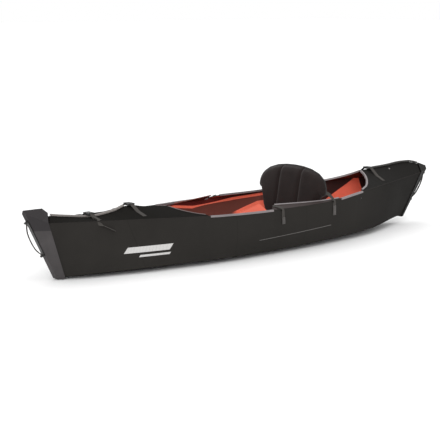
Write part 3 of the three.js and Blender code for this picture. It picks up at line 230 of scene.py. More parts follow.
class Effects:
    """Shader groups that several finishes share, each built once."""

    _made: dict[str, Tree] = {}

    @classmethod
    def group(cls, name: str) -> Tree:
        """Group of that name, built on its first use."""
        if name not in cls._made:
            cls._made[name] = getattr(cls, "_" + name)()
        return cls._made[name]

    @classmethod
    def place(cls, nodes: Nodes, name: str, vector: Socket, **values: float) -> Node:
        """Places a group in a material.

        Args:
            nodes: the material's nodes.
            name: the group's name.
            vector: what the group's Vector input reads.
            values: the group's other inputs, by name.

        Returns:
            The group node.
        """
        node = nodes.add("Group")
        node.node_tree = cls.group(name)
        nodes.join(vector, node.inputs["Vector"])
        for key, value in values.items():
            node.inputs[key].default_value = value
        return node

    @staticmethod
    def _start(name: str, inputs: dict[str, float], outputs: tuple[str, ...]) -> tuple[Nodes, object, object]:
        """Starts a group with a Vector input, number inputs and number outputs.

        Args:
            name: the group's name.
            inputs: default of each number input.
            outputs: names of the number outputs.

        Returns:
            The group's nodes, its input node and its output node.
        """
        tree = bpy.data.node_groups.new(name, "ShaderNodeTree")
        tree.interface.new_socket("Vector", in_out="INPUT", socket_type="NodeSocketVector")
        for key, value in inputs.items():
            socket = tree.interface.new_socket(key, in_out="INPUT", socket_type="NodeSocketFloat")
            socket.default_value = value
        for key in outputs:
            tree.interface.new_socket(key, in_out="OUTPUT", socket_type="NodeSocketFloat")
        nodes = Nodes(tree)
        return nodes, nodes.add("NodeGroupInput"), nodes.add("NodeGroupOutput")

    @classmethod
    def _mottle(cls) -> Tree:
        """Soft cloudy variation plus fine grain: noise at Scale and noise sixty times finer."""
        nodes, given, out = cls._start("mottle", {"Scale": 6.0}, ("Cloud", "Grain"))
        scale = given.outputs["Scale"]
        kinds = ("Cloud", 4.0, 0.6, scale), ("Grain", 6.0, 0.7, nodes.times(scale, 60.0))
        for name, detail, roughness, size in kinds:
            noise = nodes.read("TexNoise", given.outputs["Vector"], {"Detail": detail, "Roughness": roughness})
            nodes.join(size, noise.inputs["Scale"])
            nodes.join(noise.outputs[0], out.inputs[name])
        return nodes.tree

    @classmethod
    def _flutes(cls) -> Tree:
        """Lines of a twin-wall sheet's inner webs: a narrow line at each Pitch of the second coordinate."""
        nodes, given, out = cls._start("flutes", {"Pitch": 0.005}, ("Line", "Height"))
        split = nodes.read("SeparateXYZ", given.outputs["Vector"])
        turns = nodes.math("DIVIDE", split.outputs[1], given.outputs["Pitch"])
        saw = nodes.math("FRACT", turns)
        centred = nodes.math("ABSOLUTE", nodes.minus(saw, 0.5))
        line = nodes.spread(centred, 0.38, 0.5)
        wave = nodes.math("COSINE", nodes.times(turns, 2 * math.pi))
        nodes.join(line, out.inputs["Line"])
        nodes.join(nodes.times(wave, 0.5), out.inputs["Height"])
        return nodes.tree

    @classmethod
    def _weave(cls) -> Tree:
        """Plain weave: two sets of ribs at right angles that pass over each other in turn at each Pitch."""
        nodes, given, out = cls._start("weave", {"Pitch": 0.001}, ("Thread", "Height"))
        split = nodes.read("SeparateXYZ", given.outputs["Vector"])
        ribs = []
        for axis in (0, 1):
            turns = nodes.math("DIVIDE", split.outputs[axis], given.outputs["Pitch"])
            ribs.append(nodes.math("SINE", nodes.times(turns, math.pi)))
        over = nodes.times(ribs[0], ribs[1])
        warp = nodes.math("ABSOLUTE", ribs[0])
        weft = nodes.math("ABSOLUTE", ribs[1])
        height = nodes.math("MAXIMUM", nodes.times(warp, nodes.spread(over, -1, 1, 0.3, 1.0)),
                            nodes.times(weft, nodes.spread(over, -1, 1, 1.0, 0.3)))
        nodes.join(nodes.spread(over, -1.0, 1.0), out.inputs["Thread"])
        nodes.join(height, out.inputs["Height"])
        return nodes.tree

    @classmethod
    def _scuffs(cls) -> Tree:
        """Fine scratches along the boat: noise stretched along X, kept only above a high level."""
        nodes, given, out = cls._start("scuffs", {"Amount": 0.5}, ("Mask",))
        stretch = nodes.read("Mapping", given.outputs["Vector"], {"Scale": (6.0, 90.0, 90.0)})
        streaks = nodes.read("TexNoise", stretch.outputs[0], {"Scale": 3.0, "Detail": 5.0, "Roughness": 0.75})
        cloud = nodes.read("TexNoise", given.outputs["Vector"], {"Scale": 5.0, "Detail": 2.0})
        lines = nodes.spread(streaks.outputs[0], 0.6, 0.8)
        patches = nodes.spread(cloud.outputs[0], 0.45, 0.7)
        both = nodes.times(lines, patches)
        nodes.join(nodes.times(both, given.outputs["Amount"], clamp=True), out.inputs["Mask"])
        return nodes.tree


def shade(colour: Rgb, share: float) -> Rgb:
    """That share of a colour."""
    return tuple(c * share for c in colour)


SHEET_PITCH = 0.0052
CLOUD_RANGE = (0.3, 0.7)


@dataclass(frozen=True)
class Finish:
    """A surface finish: its colour and gloss, dressed by the subclasses."""

    name: str
    colour: Rgb
    roughness: float = 0.5
    specular: float = 0.5

    def material(self) -> bpy.types.Material:
        """The finish's material, made on its first use."""
        found = bpy.data.materials.get(self.name)
        if found is not None:
            return found
        material = bpy.data.materials.new(self.name)
        material.use_nodes = True
        tree = material.node_tree
        tree.nodes.clear()
        nodes = Nodes(tree)
        surface = nodes.add("BsdfPrincipled", {"Roughness": self.roughness, "Specular IOR Level": self.specular})
        surface.inputs["Base Color"].default_value = (*self.colour, 1.0)
        output = nodes.add("OutputMaterial")
        nodes.join(surface.outputs[0], output.inputs[0])
        self.dress(nodes, surface)
        return material

    def place(self, nodes: Nodes, uv: bool = False) -> Socket:
        """Coordinates that the finish's patterns read.

        Args:
            nodes: the material's nodes.
            uv: reads the piece's own UV map, which is in metres, in place of Object coordinates.

        Returns:
            The coordinate socket.
        """
        source = nodes.add("TexCoord")
        return source.outputs["UV" if uv else "Object"]

    def bump(self, nodes: Nodes, surface: Node, height: object, distance: float, strength: float) -> None:
        """Feeds a height into the surface's normal.

        Args:
            nodes: the material's nodes.
            surface: the surface shader.
            height: the height socket.
            distance: height of a full step, in metres.
            strength: how much of it shows.
        """
        node = nodes.add("Bump", {"Distance": distance, "Strength": strength})
        nodes.join(height, node.inputs["Height"])
        nodes.join(node.outputs[0], surface.inputs["Normal"])

    def vary(self, nodes: Nodes, cloud: object, amount: float) -> Socket:
        """The finish's colour, darker and lighter by a share of itself as a mask goes from 0 to 1.

        Args:
            nodes: the material's nodes.
            cloud: the mask socket.
            amount: share of the colour.

        Returns:
            The colour socket.
        """
        low, high = shade(self.colour, 1 - amount), shade(self.colour, 1 + amount)
        return nodes.blend(nodes.spread(cloud, *CLOUD_RANGE), low, high)

    def gloss(self, nodes: Nodes, cloud: object, amount: float) -> Socket:
        """The finish's roughness, less and more by an amount as a mask goes from 0 to 1.

        Args:
            nodes: the material's nodes.
            cloud: the mask socket.
            amount: amount of roughness.

        Returns:
            The roughness socket.
        """
        return nodes.spread(cloud, *CLOUD_RANGE, self.roughness - amount, self.roughness + amount)

    def dress(self, nodes: Nodes, surface: Node) -> None:
        """Adds soft variation and a fine moulded grain.

        Args:
            nodes: the material's nodes.
            surface: the surface shader.
        """
        where = self.place(nodes)
        mottle = Effects.place(nodes, "mottle", where, Scale=14.0)
        nodes.join(self.vary(nodes, mottle.outputs["Cloud"], 0.12), surface.inputs["Base Color"])
        nodes.join(self.gloss(nodes, mottle.outputs["Cloud"], 0.06), surface.inputs["Roughness"])
        self.bump(nodes, surface, mottle.outputs["Grain"], 0.00008, 0.5)


@dataclass(frozen=True)
class PlainFinish(Finish):
    """One even colour, for the studio."""

    def dress(self, nodes: Nodes, surface: Node) -> None:
        """Leaves the surface even."""


@dataclass(frozen=True)
class SheetFinish(Finish):
    """Twin-wall sheet: lines of its inner webs, scuffs and rubbed low edges."""

    rub: Rgb = (0.06, 0.058, 0.055)
    line_share: float = 0.14
    scuff: float = 0.5
    fold_places: tuple[tuple[float, float], ...] = ()

    def dress(self, nodes: Nodes, surface: Node) -> None:
        """Adds the web lines, cloudy variation, scuffs and pressed fold lines, these darkened with painted shade.

        Args:
            nodes: the material's nodes.
            surface: the surface shader.
        """
        flat = self.place(nodes, uv=True)
        where = self.place(nodes)
        flutes = Effects.place(nodes, "flutes", flat, Pitch=SHEET_PITCH)
        mottle = Effects.place(nodes, "mottle", where, Scale=5.0)
        scuffs = Effects.place(nodes, "scuffs", where, Amount=self.scuff)
        tint = self.vary(nodes, mottle.outputs["Cloud"], 0.10)
        lines = shade(self.colour, 1 - self.line_share)
        shaded = nodes.blend(nodes.times(flutes.outputs["Line"], 0.6), tint, lines)
        height = nodes.read("SeparateXYZ", where)
        low = nodes.spread(height.outputs[2], 0.004, 0.05, 1.0, 0.25)
        worn = nodes.times(scuffs.outputs["Mask"], low, clamp=True)
        colour = nodes.blend(worn, shaded, self.rub)
        relief = nodes.times(flutes.outputs["Height"], 0.4)
        for place, slant in self.fold_places:
            line = nodes.plus(height.outputs[0], nodes.times(height.outputs[2], slant))
            off = nodes.math("ABSOLUTE", nodes.minus(line, place))
            pressed = nodes.spread(off, 0.0006, 0.0028, 1.0, 0.0)
            # painted shade in the groove of each pressed line
            colour = nodes.blend(nodes.times(pressed, 0.35), colour, shade(self.colour, 0.45))
            relief = nodes.minus(relief, nodes.times(pressed, 2.5))
        nodes.join(self.zones(nodes, height, colour), surface.inputs["Base Color"])
        rough = self.gloss(nodes, mottle.outputs["Cloud"], 0.05)
        nodes.join(nodes.plus(rough, nodes.times(worn, 0.2), clamp=True), surface.inputs["Roughness"])
        self.bump(nodes, surface, relief, 0.00012, 0.5)

    def zones(self, nodes: Nodes, place: Node, colour: object) -> object:
        """The colour with any areas of painted shade; plain sheet has none.

        Args:
            nodes: the material's nodes.
            place: node that splits the Object coordinates.
            colour: the sheet's colour socket.

        Returns:
            The colour socket.
        """
        return colour


@dataclass(frozen=True)
class HullFinish(SheetFinish):
    """Outer skin of the hull, darkened towards the stern with painted shade."""

    far: float = 0.55

    def zones(self, nodes: Nodes, place: Node, colour: object) -> object:
        """Darkens the colour towards the stern with painted shade.

        Args:
            nodes: the material's nodes.
            place: node that splits the Object coordinates.
            colour: the sheet's colour socket.

        Returns:
            The colour socket.
        """
        stern_shade_mask = nodes.spread(place.outputs[0], 0.60, 1.05)
        return nodes.blend(stern_shade_mask, colour, shade(self.colour, self.far))


# Ramps along X of the side lining's painted shade: start, end, value up to the start and value from the end
LINING_RAMPS = {
    "dip": (-0.20, 0.12, 0.044, 0.026),
    "front_dip": (-0.335, -0.20, 0.019, 0.0),
    "half": (-0.20, -0.12, 0.0075, 0.0035),
    "rear_half": (-0.03, 0.08, 0.0, 0.0045),
    "wedge_start": (0.10, 0.14, 0.0, 1.0),
    "wedge_stop": (0.363, 0.365, 1.0, 0.0),
    "rear": (0.0, 0.12, 0.0, 1.0),
    "closed": (0.365, 0.37, 0.0, 1.0),
}


@dataclass(frozen=True)
class LiningFinish(SheetFinish):
    """Inner skin of a side: lit orange shapes between dark red, brown and near-black areas of painted shade and shadow.
    """

    # band is dark red painted shadow under the gunwale, dark is near-black painted shadow, shade is brown painted shade
    band: Rgb = (0.105, 0.012, 0.010)
    dark: Rgb = (0.034, 0.0150, 0.0135)
    shade: Rgb = (0.140, 0.045, 0.034)
    banded: bool = True
    gunwale: float = 0.258
    rise: float = 0.055
    ends: float = 1.2

    def zones(self, nodes: Nodes, place: Node, colour: object) -> object:
        """Adds the areas of painted shade and shadow.

        Under the gunwale, whose height grows with the square of X behind the middle, runs a dark red strip of painted
        shadow, then a lit orange stripe that dips and thins ahead of the middle, then brown painted shade. The stripe
        and the brown end at a slanted line ahead of the stern, with near-black painted shadow over its upper part. A
        low lit orange wedge, kept free of the painted shade, lies before the seat.

        Args:
            nodes: the material's nodes.
            place: node that splits the Object coordinates.
            colour: the sheet's colour socket.

        Returns:
            The colour socket.
        """
        x, z = place.outputs[0], place.outputs[2]
        # near-black painted shade beyond the ends
        out = nodes.spread(nodes.math("ABSOLUTE", x), self.ends, self.ends + 0.01)
        if not self.banded:
            return nodes.blend(out, colour, self.dark)
        behind = nodes.math("MAXIMUM", x, 0.0)
        top = nodes.plus(nodes.times(behind, behind, self.rise), self.gunwale)
        depth = nodes.minus(top, z)
        along = {name: nodes.spread(x, *ramp) for name, ramp in LINING_RAMPS.items()}
        dip = nodes.minus(along["dip"], along["front_dip"])
        half = nodes.plus(along["half"], along["rear_half"])
        below = nodes.minus(depth, dip)
        over = nodes.spread(nodes.plus(below, half), -0.001, 0.001, 1.0, 0.0)
        under = nodes.spread(nodes.minus(below, half), -0.001, 0.001)
        slope = nodes.minus(z, nodes.times(x, 0.2536))
        # lit orange wedge, kept free of the painted shade
        wedge = nodes.times(nodes.spread(slope, 0.1224, 0.1244, 1.0, 0.0), nodes.spread(z, 0.198, 0.200, 1.0, 0.0),
                            along["wedge_stop"], along["wedge_start"])
        line = nodes.minus(x, nodes.times(z, 1.6))
        ahead = nodes.spread(line, 0.510, 0.516, 1.0, 0.0)
        shaded = nodes.times(under, ahead, nodes.minus(1.0, wedge))
        rim_shadow_mask = nodes.times(over, ahead)
        tail = nodes.spread(nodes.plus(x, nodes.times(z, 0.3)), 1.092, 1.098)
        closed, late = nodes.times(ahead, along["closed"]), nodes.times(rim_shadow_mask, along["rear"])
        # near-black painted shadow: behind the tail line, ahead of the slanted line behind X 0.365, over the dark red
        # strip behind the middle, and beyond the ends
        deep_shadow_mask = nodes.math("MAXIMUM", nodes.math("MAXIMUM", tail, closed), nodes.math("MAXIMUM", late, out))
        toned = nodes.blend(rim_shadow_mask, nodes.blend(shaded, colour, self.shade), self.band)
        return nodes.blend(deep_shadow_mask, toned, self.dark)


@dataclass(frozen=True)
class EdgeFinish(Finish):
    """Cut edge of twin-wall sheet: open cells between thin webs, darkened with painted shade."""

    def dress(self, nodes: Nodes, surface: Node) -> None:
        """Darkens the open cells at the pitch of the webs with painted shade.

        Args:
            nodes: the material's nodes.
            surface: the surface shader.
        """
        flat = self.place(nodes, uv=True)
        flutes = Effects.place(nodes, "flutes", flat, Pitch=SHEET_PITCH)
        # painted shade inside the hollow cells
        dark = shade(self.colour, 0.35)
        nodes.join(nodes.blend(flutes.outputs["Line"], dark, self.colour), surface.inputs["Base Color"])
        self.bump(nodes, surface, flutes.outputs["Line"], 0.0004, 0.6)


@dataclass(frozen=True)
class CoverFinish(Finish):
    """End cover of coated cloth: a darker top part over a lighter lower part, with a stitched join."""

    upper: Rgb = (0.03, 0.027, 0.028)
    join_height: float = 0.0
    weave_pitch: float = 0.0011

    def dress(self, nodes: Nodes, surface: Node) -> None:
        """Adds the two tones, a cloth weave under the coating and rubbed patches.

        Args:
            nodes: the material's nodes.
            surface: the surface shader.
        """
        where = self.place(nodes)
        turned = nodes.read("Mapping", where, {"Rotation": (math.radians(90), 0.0, 0.0)})
        weave = Effects.place(nodes, "weave", turned.outputs[0], Pitch=self.weave_pitch)
        mottle = Effects.place(nodes, "mottle", where, Scale=11.0)
        tint = self.vary(nodes, mottle.outputs["Cloud"], 0.14)
        threads = nodes.blend(nodes.times(weave.outputs["Thread"], 0.25), tint, shade(self.colour, 0.6))
        height = nodes.read("SeparateXYZ", where)
        top = nodes.spread(height.outputs[2], self.join_height - 0.001, self.join_height + 0.001)
        nodes.join(nodes.blend(top, threads, self.upper), surface.inputs["Base Color"])
        both = nodes.plus(weave.outputs["Height"], nodes.times(mottle.outputs["Cloud"], 2.0))
        self.bump(nodes, surface, both, 0.00025, 0.6)


@dataclass(frozen=True)
class WovenFinish(Finish):
    """Woven goods: threads at a pitch, with lint and worn high spots."""

    pitch: float = 0.0012
    relief: float = 0.0003
    uv: bool = True
    sheen: float = 0.2
    turn: tuple[float, float, float] = (0.0, 0.0, 0.0)

    def dress(self, nodes: Nodes, surface: Node) -> None:
        """Adds the weave, soft variation and a cloth's sheen.

        Args:
            nodes: the material's nodes.
            surface: the surface shader.
        """
        where = self.place(nodes, uv=self.uv)
        turned = nodes.read("Mapping", where, {"Rotation": self.turn})
        weave = Effects.place(nodes, "weave", turned.outputs[0], Pitch=self.pitch)
        mottle = Effects.place(nodes, "mottle", self.place(nodes), Scale=18.0)
        tint = self.vary(nodes, mottle.outputs["Cloud"], 0.2)
        dark = shade(self.colour, 0.45)
        threads = nodes.blend(nodes.times(weave.outputs["Thread"], 0.55), tint, dark)
        nodes.join(threads, surface.inputs["Base Color"])
        surface.inputs["Sheen Weight"].default_value = self.sheen
        surface.inputs["Sheen Roughness"].default_value = 0.5
        both = nodes.plus(weave.outputs["Height"], nodes.times(mottle.outputs["Grain"], 0.4))
        self.bump(nodes, surface, both, self.relief, 0.8)


@dataclass(frozen=True)
class ReflectiveFinish(Finish):
    """Reflective tape: a field of small six-sided cells under a clear coat."""

    def dress(self, nodes: Nodes, surface: Node) -> None:
        """Adds the cells and their bright centres.

        Args:
            nodes: the material's nodes.
            surface: the surface shader.
        """
        where = self.place(nodes)
        cells = nodes.read("TexVoronoi", where, {"Scale": 260.0, "Randomness": 0.12}, feature="DISTANCE_TO_EDGE")
        wall = nodes.spread(cells.outputs["Distance"], 0.02, 0.1, 1.0, 0.0)
        nodes.join(nodes.blend(nodes.times(wall, 0.5), self.colour, shade(self.colour, 0.6)),
                   surface.inputs["Base Color"])
        surface.inputs["Coat Weight"].default_value = 0.5
        surface.inputs["Coat Roughness"].default_value = 0.15
        self.bump(nodes, surface, cells.outputs["Distance"], 0.0001, 0.4)


# Pressed fold lines: each lies where X, plus the second number times Z, comes to the first number
FOLDS = ((-0.333, 0.0), (0.16, 0.0), (0.62, 0.0), (-0.86, 0.35))


@dataclass(frozen=True)
class Palette:
    """Every finish on the boat."""

    outer: Finish = HullFinish("outer sheet", (0.0215, 0.0198, 0.0180), 0.68, 0.05, fold_places=FOLDS)
    # Deck sheets: the outer sheet's black darkened further, painted shade on their upward faces.
    bow_deck: Finish = SheetFinish("bow deck sheet", (0.0115, 0.0108, 0.0098), 0.75, 0.01, fold_places=FOLDS)
    stern_deck: Finish = SheetFinish("stern deck sheet", (0.0115, 0.0108, 0.0099), 0.7, 0.05, fold_places=FOLDS)
    # Flap sheet: the outer sheet's black lightened, painted light on its folded-in top.
    flap: Finish = SheetFinish("flap sheet", (0.035, 0.0255, 0.0245), 0.6, 0.15)
    inner: Finish = SheetFinish("inner sheet", (0.80, 0.145, 0.075), 0.55, 0.25, rub=(0.55, 0.10, 0.05), scuff=0.25)
    # Gusset: the inner sheet's orange darkened, painted shade.
    gusset: Finish = SheetFinish("gusset sheet", (0.56, 0.088, 0.045), 0.55, 0.25, rub=(0.45, 0.08, 0.04), scuff=0.25)
    # Side lining: the inner sheet's orange brightened as painted light, with areas of painted shade laid on it.
    lining: Finish = LiningFinish("side lining", (0.95, 0.195, 0.12), 0.55, 0.25, rub=(0.55, 0.10, 0.05), scuff=0.25)
    # Deck underside: the inner orange, with near-black painted shade beyond the ends.
    underside: Finish = LiningFinish("deck lining", (0.80, 0.145, 0.075), 0.55, 0.25, rub=(0.55, 0.10, 0.05),
                                     scuff=0.25, banded=False)
    # The inner orange darkened almost to black as painted shade, for the undersides of the stern decks and gussets.
    shadowed: Finish = SheetFinish("dark lining", (0.060, 0.022, 0.019), 0.6, 0.15, rub=(0.03, 0.012, 0.01))
    # Crease webs: the outer sheet's dark; where seen from inside it stands for the fold's shadow, as painted shade.
    crease: Finish = Finish("pressed crease", (0.020, 0.0175, 0.016), 0.65, 0.1)
    edge: Finish = EdgeFinish("cut edge", (0.05, 0.047, 0.044), 0.6, 0.3)
    bow_cover: Finish = CoverFinish("bow cover cloth", (0.0545, 0.050, 0.0505), 0.65, 0.15,
                                    upper=(0.0270, 0.0243, 0.0255), join_height=0.262)
    stern_cover: Finish = CoverFinish("stern cover cloth", (0.006, 0.0058, 0.0055), 0.6, 0.12,
                                      upper=(0.012, 0.0115, 0.011), join_height=0.27)
    rim: Finish = Finish("dark edge trim", (0.075, 0.050, 0.048), 0.45, 0.3)
    trim: Finish = Finish("edge trim", (0.178, 0.158, 0.161), 0.42, 0.4)
    rail: Finish = Finish("seam bead", (0.184, 0.167, 0.157), 0.5, 0.3)
    dark_rail: Finish = Finish("dark seam bead", (0.028, 0.026, 0.024), 0.5, 0.25)
    moulded: Finish = Finish("black moulding", (0.012, 0.0115, 0.011), 0.38, 0.4)
    webbing: Finish = WovenFinish("webbing", (0.022, 0.0200, 0.0187), 0.8, 0.12, pitch=0.0016, relief=0.0004)
    tab: Finish = WovenFinish("tab webbing", (0.072, 0.066, 0.063), 0.8, 0.12, pitch=0.0016, relief=0.0004)
    snap: Finish = Finish("snap head", (0.20, 0.19, 0.185), 0.4, 0.4)
    seat_cloth: Finish = WovenFinish("seat cloth", (0.0150, 0.0098, 0.0090), 0.82, 0.12, pitch=0.0011, relief=0.0003,
                                     uv=False, sheen=0.1, turn=(0.0, math.radians(-90), 0.0))
    pad_cloth: Finish = WovenFinish("pad cloth", (0.018, 0.016, 0.015), 0.85, 0.2, pitch=0.003, relief=0.0009, uv=False)
    piping: Finish = WovenFinish("piping", (0.012, 0.011, 0.0105), 0.7, 0.3, pitch=0.0009, relief=0.0002)
    seat_thread: Finish = Finish("seat thread", (0.0165, 0.0115, 0.0107), 0.7, 0.2)
    thread: Finish = Finish("thread", (0.075, 0.07, 0.066), 0.7, 0.3)
    tape: Finish = ReflectiveFinish("reflective tape", (0.50, 0.49, 0.48), 0.35, 0.5)
    # Floor panels: brown, painted shade over an orange floor.
    floor_board: Finish = SheetFinish("floor sheet", (0.085, 0.040, 0.032), 0.5, 0.3, scuff=0.35)
    stripe: Finish = Finish("thin stripe", (0.115, 0.108, 0.104), 0.45, 0.4)


PALETTE = Palette()


# Surfaces


def linked(name: str, data: bpy.types.ID) -> Piece:
    """New object of the scene that shows the data."""
    piece = bpy.data.objects.new(name, data)
    bpy.context.scene.collection.objects.link(piece)
    return piece


def shade_faces(mesh: Mesh, smooth: bool = True) -> None:
    """Shades all faces smooth, or all flat."""
    mesh.polygons.foreach_set("use_smooth", np.full(len(mesh.polygons), smooth))


def make_mesh(name: str, points: np.ndarray, faces: list, finish: Finish, smooth: bool = True) -> Piece:
    """Makes a piece from points and faces.

    Args:
        name: the piece's name.
        points: (n, 3) array of places in metres.
        faces: index tuples.
        finish: the piece's finish.
        smooth: shades it smooth.

    Returns:
        The new object, at the origin.
    """
    mesh = bpy.data.meshes.new(name)
    mesh.from_pydata(points.reshape(-1, 3).tolist(), [], faces)
    shade_faces(mesh, smooth)
    mesh.materials.append(finish.material())
    mesh.update()
    return linked(name, mesh)


def grid_faces(rows: int, columns: int, wrap: bool) -> np.ndarray:
    """Quads of a grid of points.

    Args:
        rows: number of rows.
        columns: number of points in a row.
        wrap: joins each row's last point to its first.

    Returns:
        (n, 4) array of indices.
    """
    last = columns if wrap else columns - 1
    i, j = np.meshgrid(np.arange(rows - 1), np.arange(last), indexing="ij")
    k = (j + 1) % columns
    return np.stack([i * columns + j, i * columns + k, (i + 1) * columns + k, (i + 1) * columns + j], -1).reshape(-1, 4)


def smooth_path(points: np.ndarray, count: int) -> np.ndarray:
    """Curve through points: on each span the cubic whose end slopes are half the step between its neighbours.

    Args:
        points: (n, k) array of rows.
        count: number of rows asked for, evenly spread over the spans.

    Returns:
        (count, k) array.
    """
    padded = np.vstack([2 * points[0] - points[1], points, 2 * points[-1] - points[-2]])
    place = np.linspace(0, len(points) - 1, count)
    i = np.minimum(place.astype(int), len(points) - 2)
    t = (place - i)[:, None]
    a, b, c, d = padded[i], padded[i + 1], padded[i + 2], padded[i + 3]
    return 0.5 * (2 * b + (c - a) * t + (2 * a - 5 * b + 4 * c - d) * t**2 + (3 * b - a - 3 * c + d) * t**3)


def bent_path(points: np.ndarray, cut: float = 0.007) -> np.ndarray:
    """Straight spans through points, with each corner cut by a parabola that starts and ends a little away from it.

    Args:
        points: (n, k) array of rows, the first three of each its place.
        cut: how far from a corner its curve starts and ends.

    Returns:
        (7 (n - 2) + 2, k) array.
    """
    step = np.diff(points, axis=0)
    share = np.minimum(cut / np.linalg.norm(step[:, :3], axis=1), 0.4)[:, None]
    before, corner, after = points[1:-1] - (step * share)[:-1], points[1:-1], points[1:-1] + (step * share)[1:]
    t = np.linspace(0, 1, 7)[None, :, None]
    curve = before[:, None] * (1 - t) ** 2 + 2 * corner[:, None] * t * (1 - t) + after[:, None] * t**2
    return np.vstack([points[:1], curve.reshape(-1, points.shape[1]), points[-1:]])


def unit(rows: np.ndarray) -> np.ndarray:
    """Each row divided by its length."""
    return rows / np.linalg.norm(rows, axis=1, keepdims=True)


def lengths(path: np.ndarray) -> np.ndarray:
    """Length of a path up to each of its points."""
    return np.concatenate([[0], np.cumsum(np.linalg.norm(np.diff(path, axis=0), axis=1))])


def swept(path: np.ndarray, run: np.ndarray, ups: np.ndarray, profile: np.ndarray) -> np.ndarray:
    """Points of a profile at each point of a path.

    Args:
        path: (n, 3) array of points.
        run: (n, 3) array of the path's directions.
        ups: the way that is up, for each point or for all.
        profile: (m, 2) array of (across, up), in metres.

    Returns:
        (n, m, 3) array.
    """
    across = unit(np.cross(run, ups))
    up = np.cross(across, run)
    return path[:, None] + profile[None, :, :1] * across[:, None] + profile[None, :, 1:] * up[:, None]


def carried(name: str, table: np.ndarray, profile: np.ndarray, finish: Finish) -> Piece:
    """Closed solid of a profile carried along a path, with U along and V across in metres.

    The point at (row, turn) is the path's point plus the profile's first number across and its second up.

    Args:
        name: the piece's name.
        table: (n, 6) array: place and up direction of each section.
        profile: (m, 2) array of (across, up), in metres, counter-clockwise.
        finish: the piece's finish.

    Returns:
        The new object.
    """
    path = table[:, :3]
    points = swept(path, unit(np.gradient(path, axis=0)), unit(table[:, 3:]), profile)
    rows, columns = points.shape[:2]
    faces = grid_faces(rows, columns, True).tolist()
    faces.append(list(range(columns)))
    faces.append(list(range(rows * columns - 1, (rows - 1) * columns - 1, -1)))
    piece = make_mesh(name, points, faces, finish)
    fix_normals(piece)
    piece.data.set_sharp_from_angle(angle=math.radians(50))
    set_uv(piece.data, np.stack([np.repeat(lengths(path), columns), np.tile(profile[:, 0], rows)], -1))
    return piece


def set_uv(mesh: Mesh, at: np.ndarray) -> None:
    """Gives a mesh a UV map, in metres.

    Args:
        mesh: the mesh.
        at: (vertices, 2) array.
    """
    layer = mesh.uv_layers.new(name="flat")
    corner = np.empty(len(mesh.loops), int)
    mesh.loops.foreach_get("vertex_index", corner)
    layer.data.foreach_set("uv", at[corner].astype(np.float32).ravel())


def ray_tree(mesh: Mesh) -> BVHTree:
    """Tree that casts rays at a mesh."""
    return BVHTree.FromPolygons([v.co for v in mesh.vertices], [tuple(p.vertices) for p in mesh.polygons])


def merged(node: str) -> bmesh.types.BMesh:
    """Copy of a CAD node's mesh, with the corners that lie within 0.02 mm of each other made one."""
    build = bmesh.new()
    build.from_mesh(frame["nodes"][node].data)
    bmesh.ops.remove_doubles(build, verts=build.verts, dist=2e-5)
    return build


def path_rows(node: str, start: Way, look: Way | None = None) -> tuple[PathRow, ...]:
    """Place and up direction of each section of a strap, read from the rings of four corners of its solid.

    The rings are taken one after another from the strap's first end. The shortest edge of a ring is the webbing's
    thickness, so it gives the up direction. Places are rounded to 0.1 mm and directions to 0.01.

    Args:
        node: the strap's node.
        start: the way from the strap's middle to its first end.
        look: a way that its outer face looks; if not given, up and away from the centre line.

    Returns:
        The rows, from the first end on.
    """
    build = merged(node)
    build.verts.index_update()
    build.verts.ensure_lookup_table()
    at = np.array([vertex.co for vertex in build.verts])
    look = look or (0.0, math.copysign(1.0, at[:, 1].mean()), 1.0)
    ring, seen, rows = np.argsort(-at @ np.array(start))[:4].tolist(), set(), []
    while ring:
        seen.update(ring)
        edges = at[ring[1:]] - at[ring[0]]
        up = min(edges, key=np.linalg.norm)
        up = up / np.linalg.norm(up) * math.copysign(1.0, up @ np.array(look))
        rows.append((*np.round(at[ring].mean(axis=0), 4).tolist(), *np.round(up, 2).tolist()))
        near = {edge.other_vert(build.verts[k]).index for k in ring for edge in build.verts[k].link_edges}
        ring = sorted(near - seen)
    build.free()
    return tuple(rows)


def fix_normals(piece: Piece) -> None:
    """Turns a closed mesh's faces outwards."""
    build = bmesh.new()
    build.from_mesh(piece.data)
    bmesh.ops.recalc_face_normals(build, faces=build.faces)
    build.to_mesh(piece.data)
    build.free()


def strap_profile(width: float, thickness: float) -> np.ndarray:
    """Section of webbing: a flat oblong whose two edges are rolled to half circles of its thickness.

    Args:
        width: full width.
        thickness: full thickness.

    Returns:
        (16, 2) array, counter-clockwise.
    """
    turn = np.linspace(-math.pi / 2, math.pi / 2, 5)
    radius = thickness / 2
    reach = width / 2 - radius
    right = np.stack([reach + radius * np.cos(turn), radius * np.sin(turn)], -1)
    ribs = np.array([[reach * s, radius * (0.93 if i % 2 else 1)] for i, s in enumerate((0.6, 0.2, -0.2, -0.6))])
    upper = np.vstack([right, ribs])
    return np.vstack([upper, -upper])


def round_profile(radius: float, sides: int = 12) -> np.ndarray:
    """Circle of that radius as (across, up) points."""
    turn = np.linspace(0, 2 * math.pi, sides, endpoint=False)
    return np.stack([radius * np.cos(turn), radius * np.sin(turn)], -1)


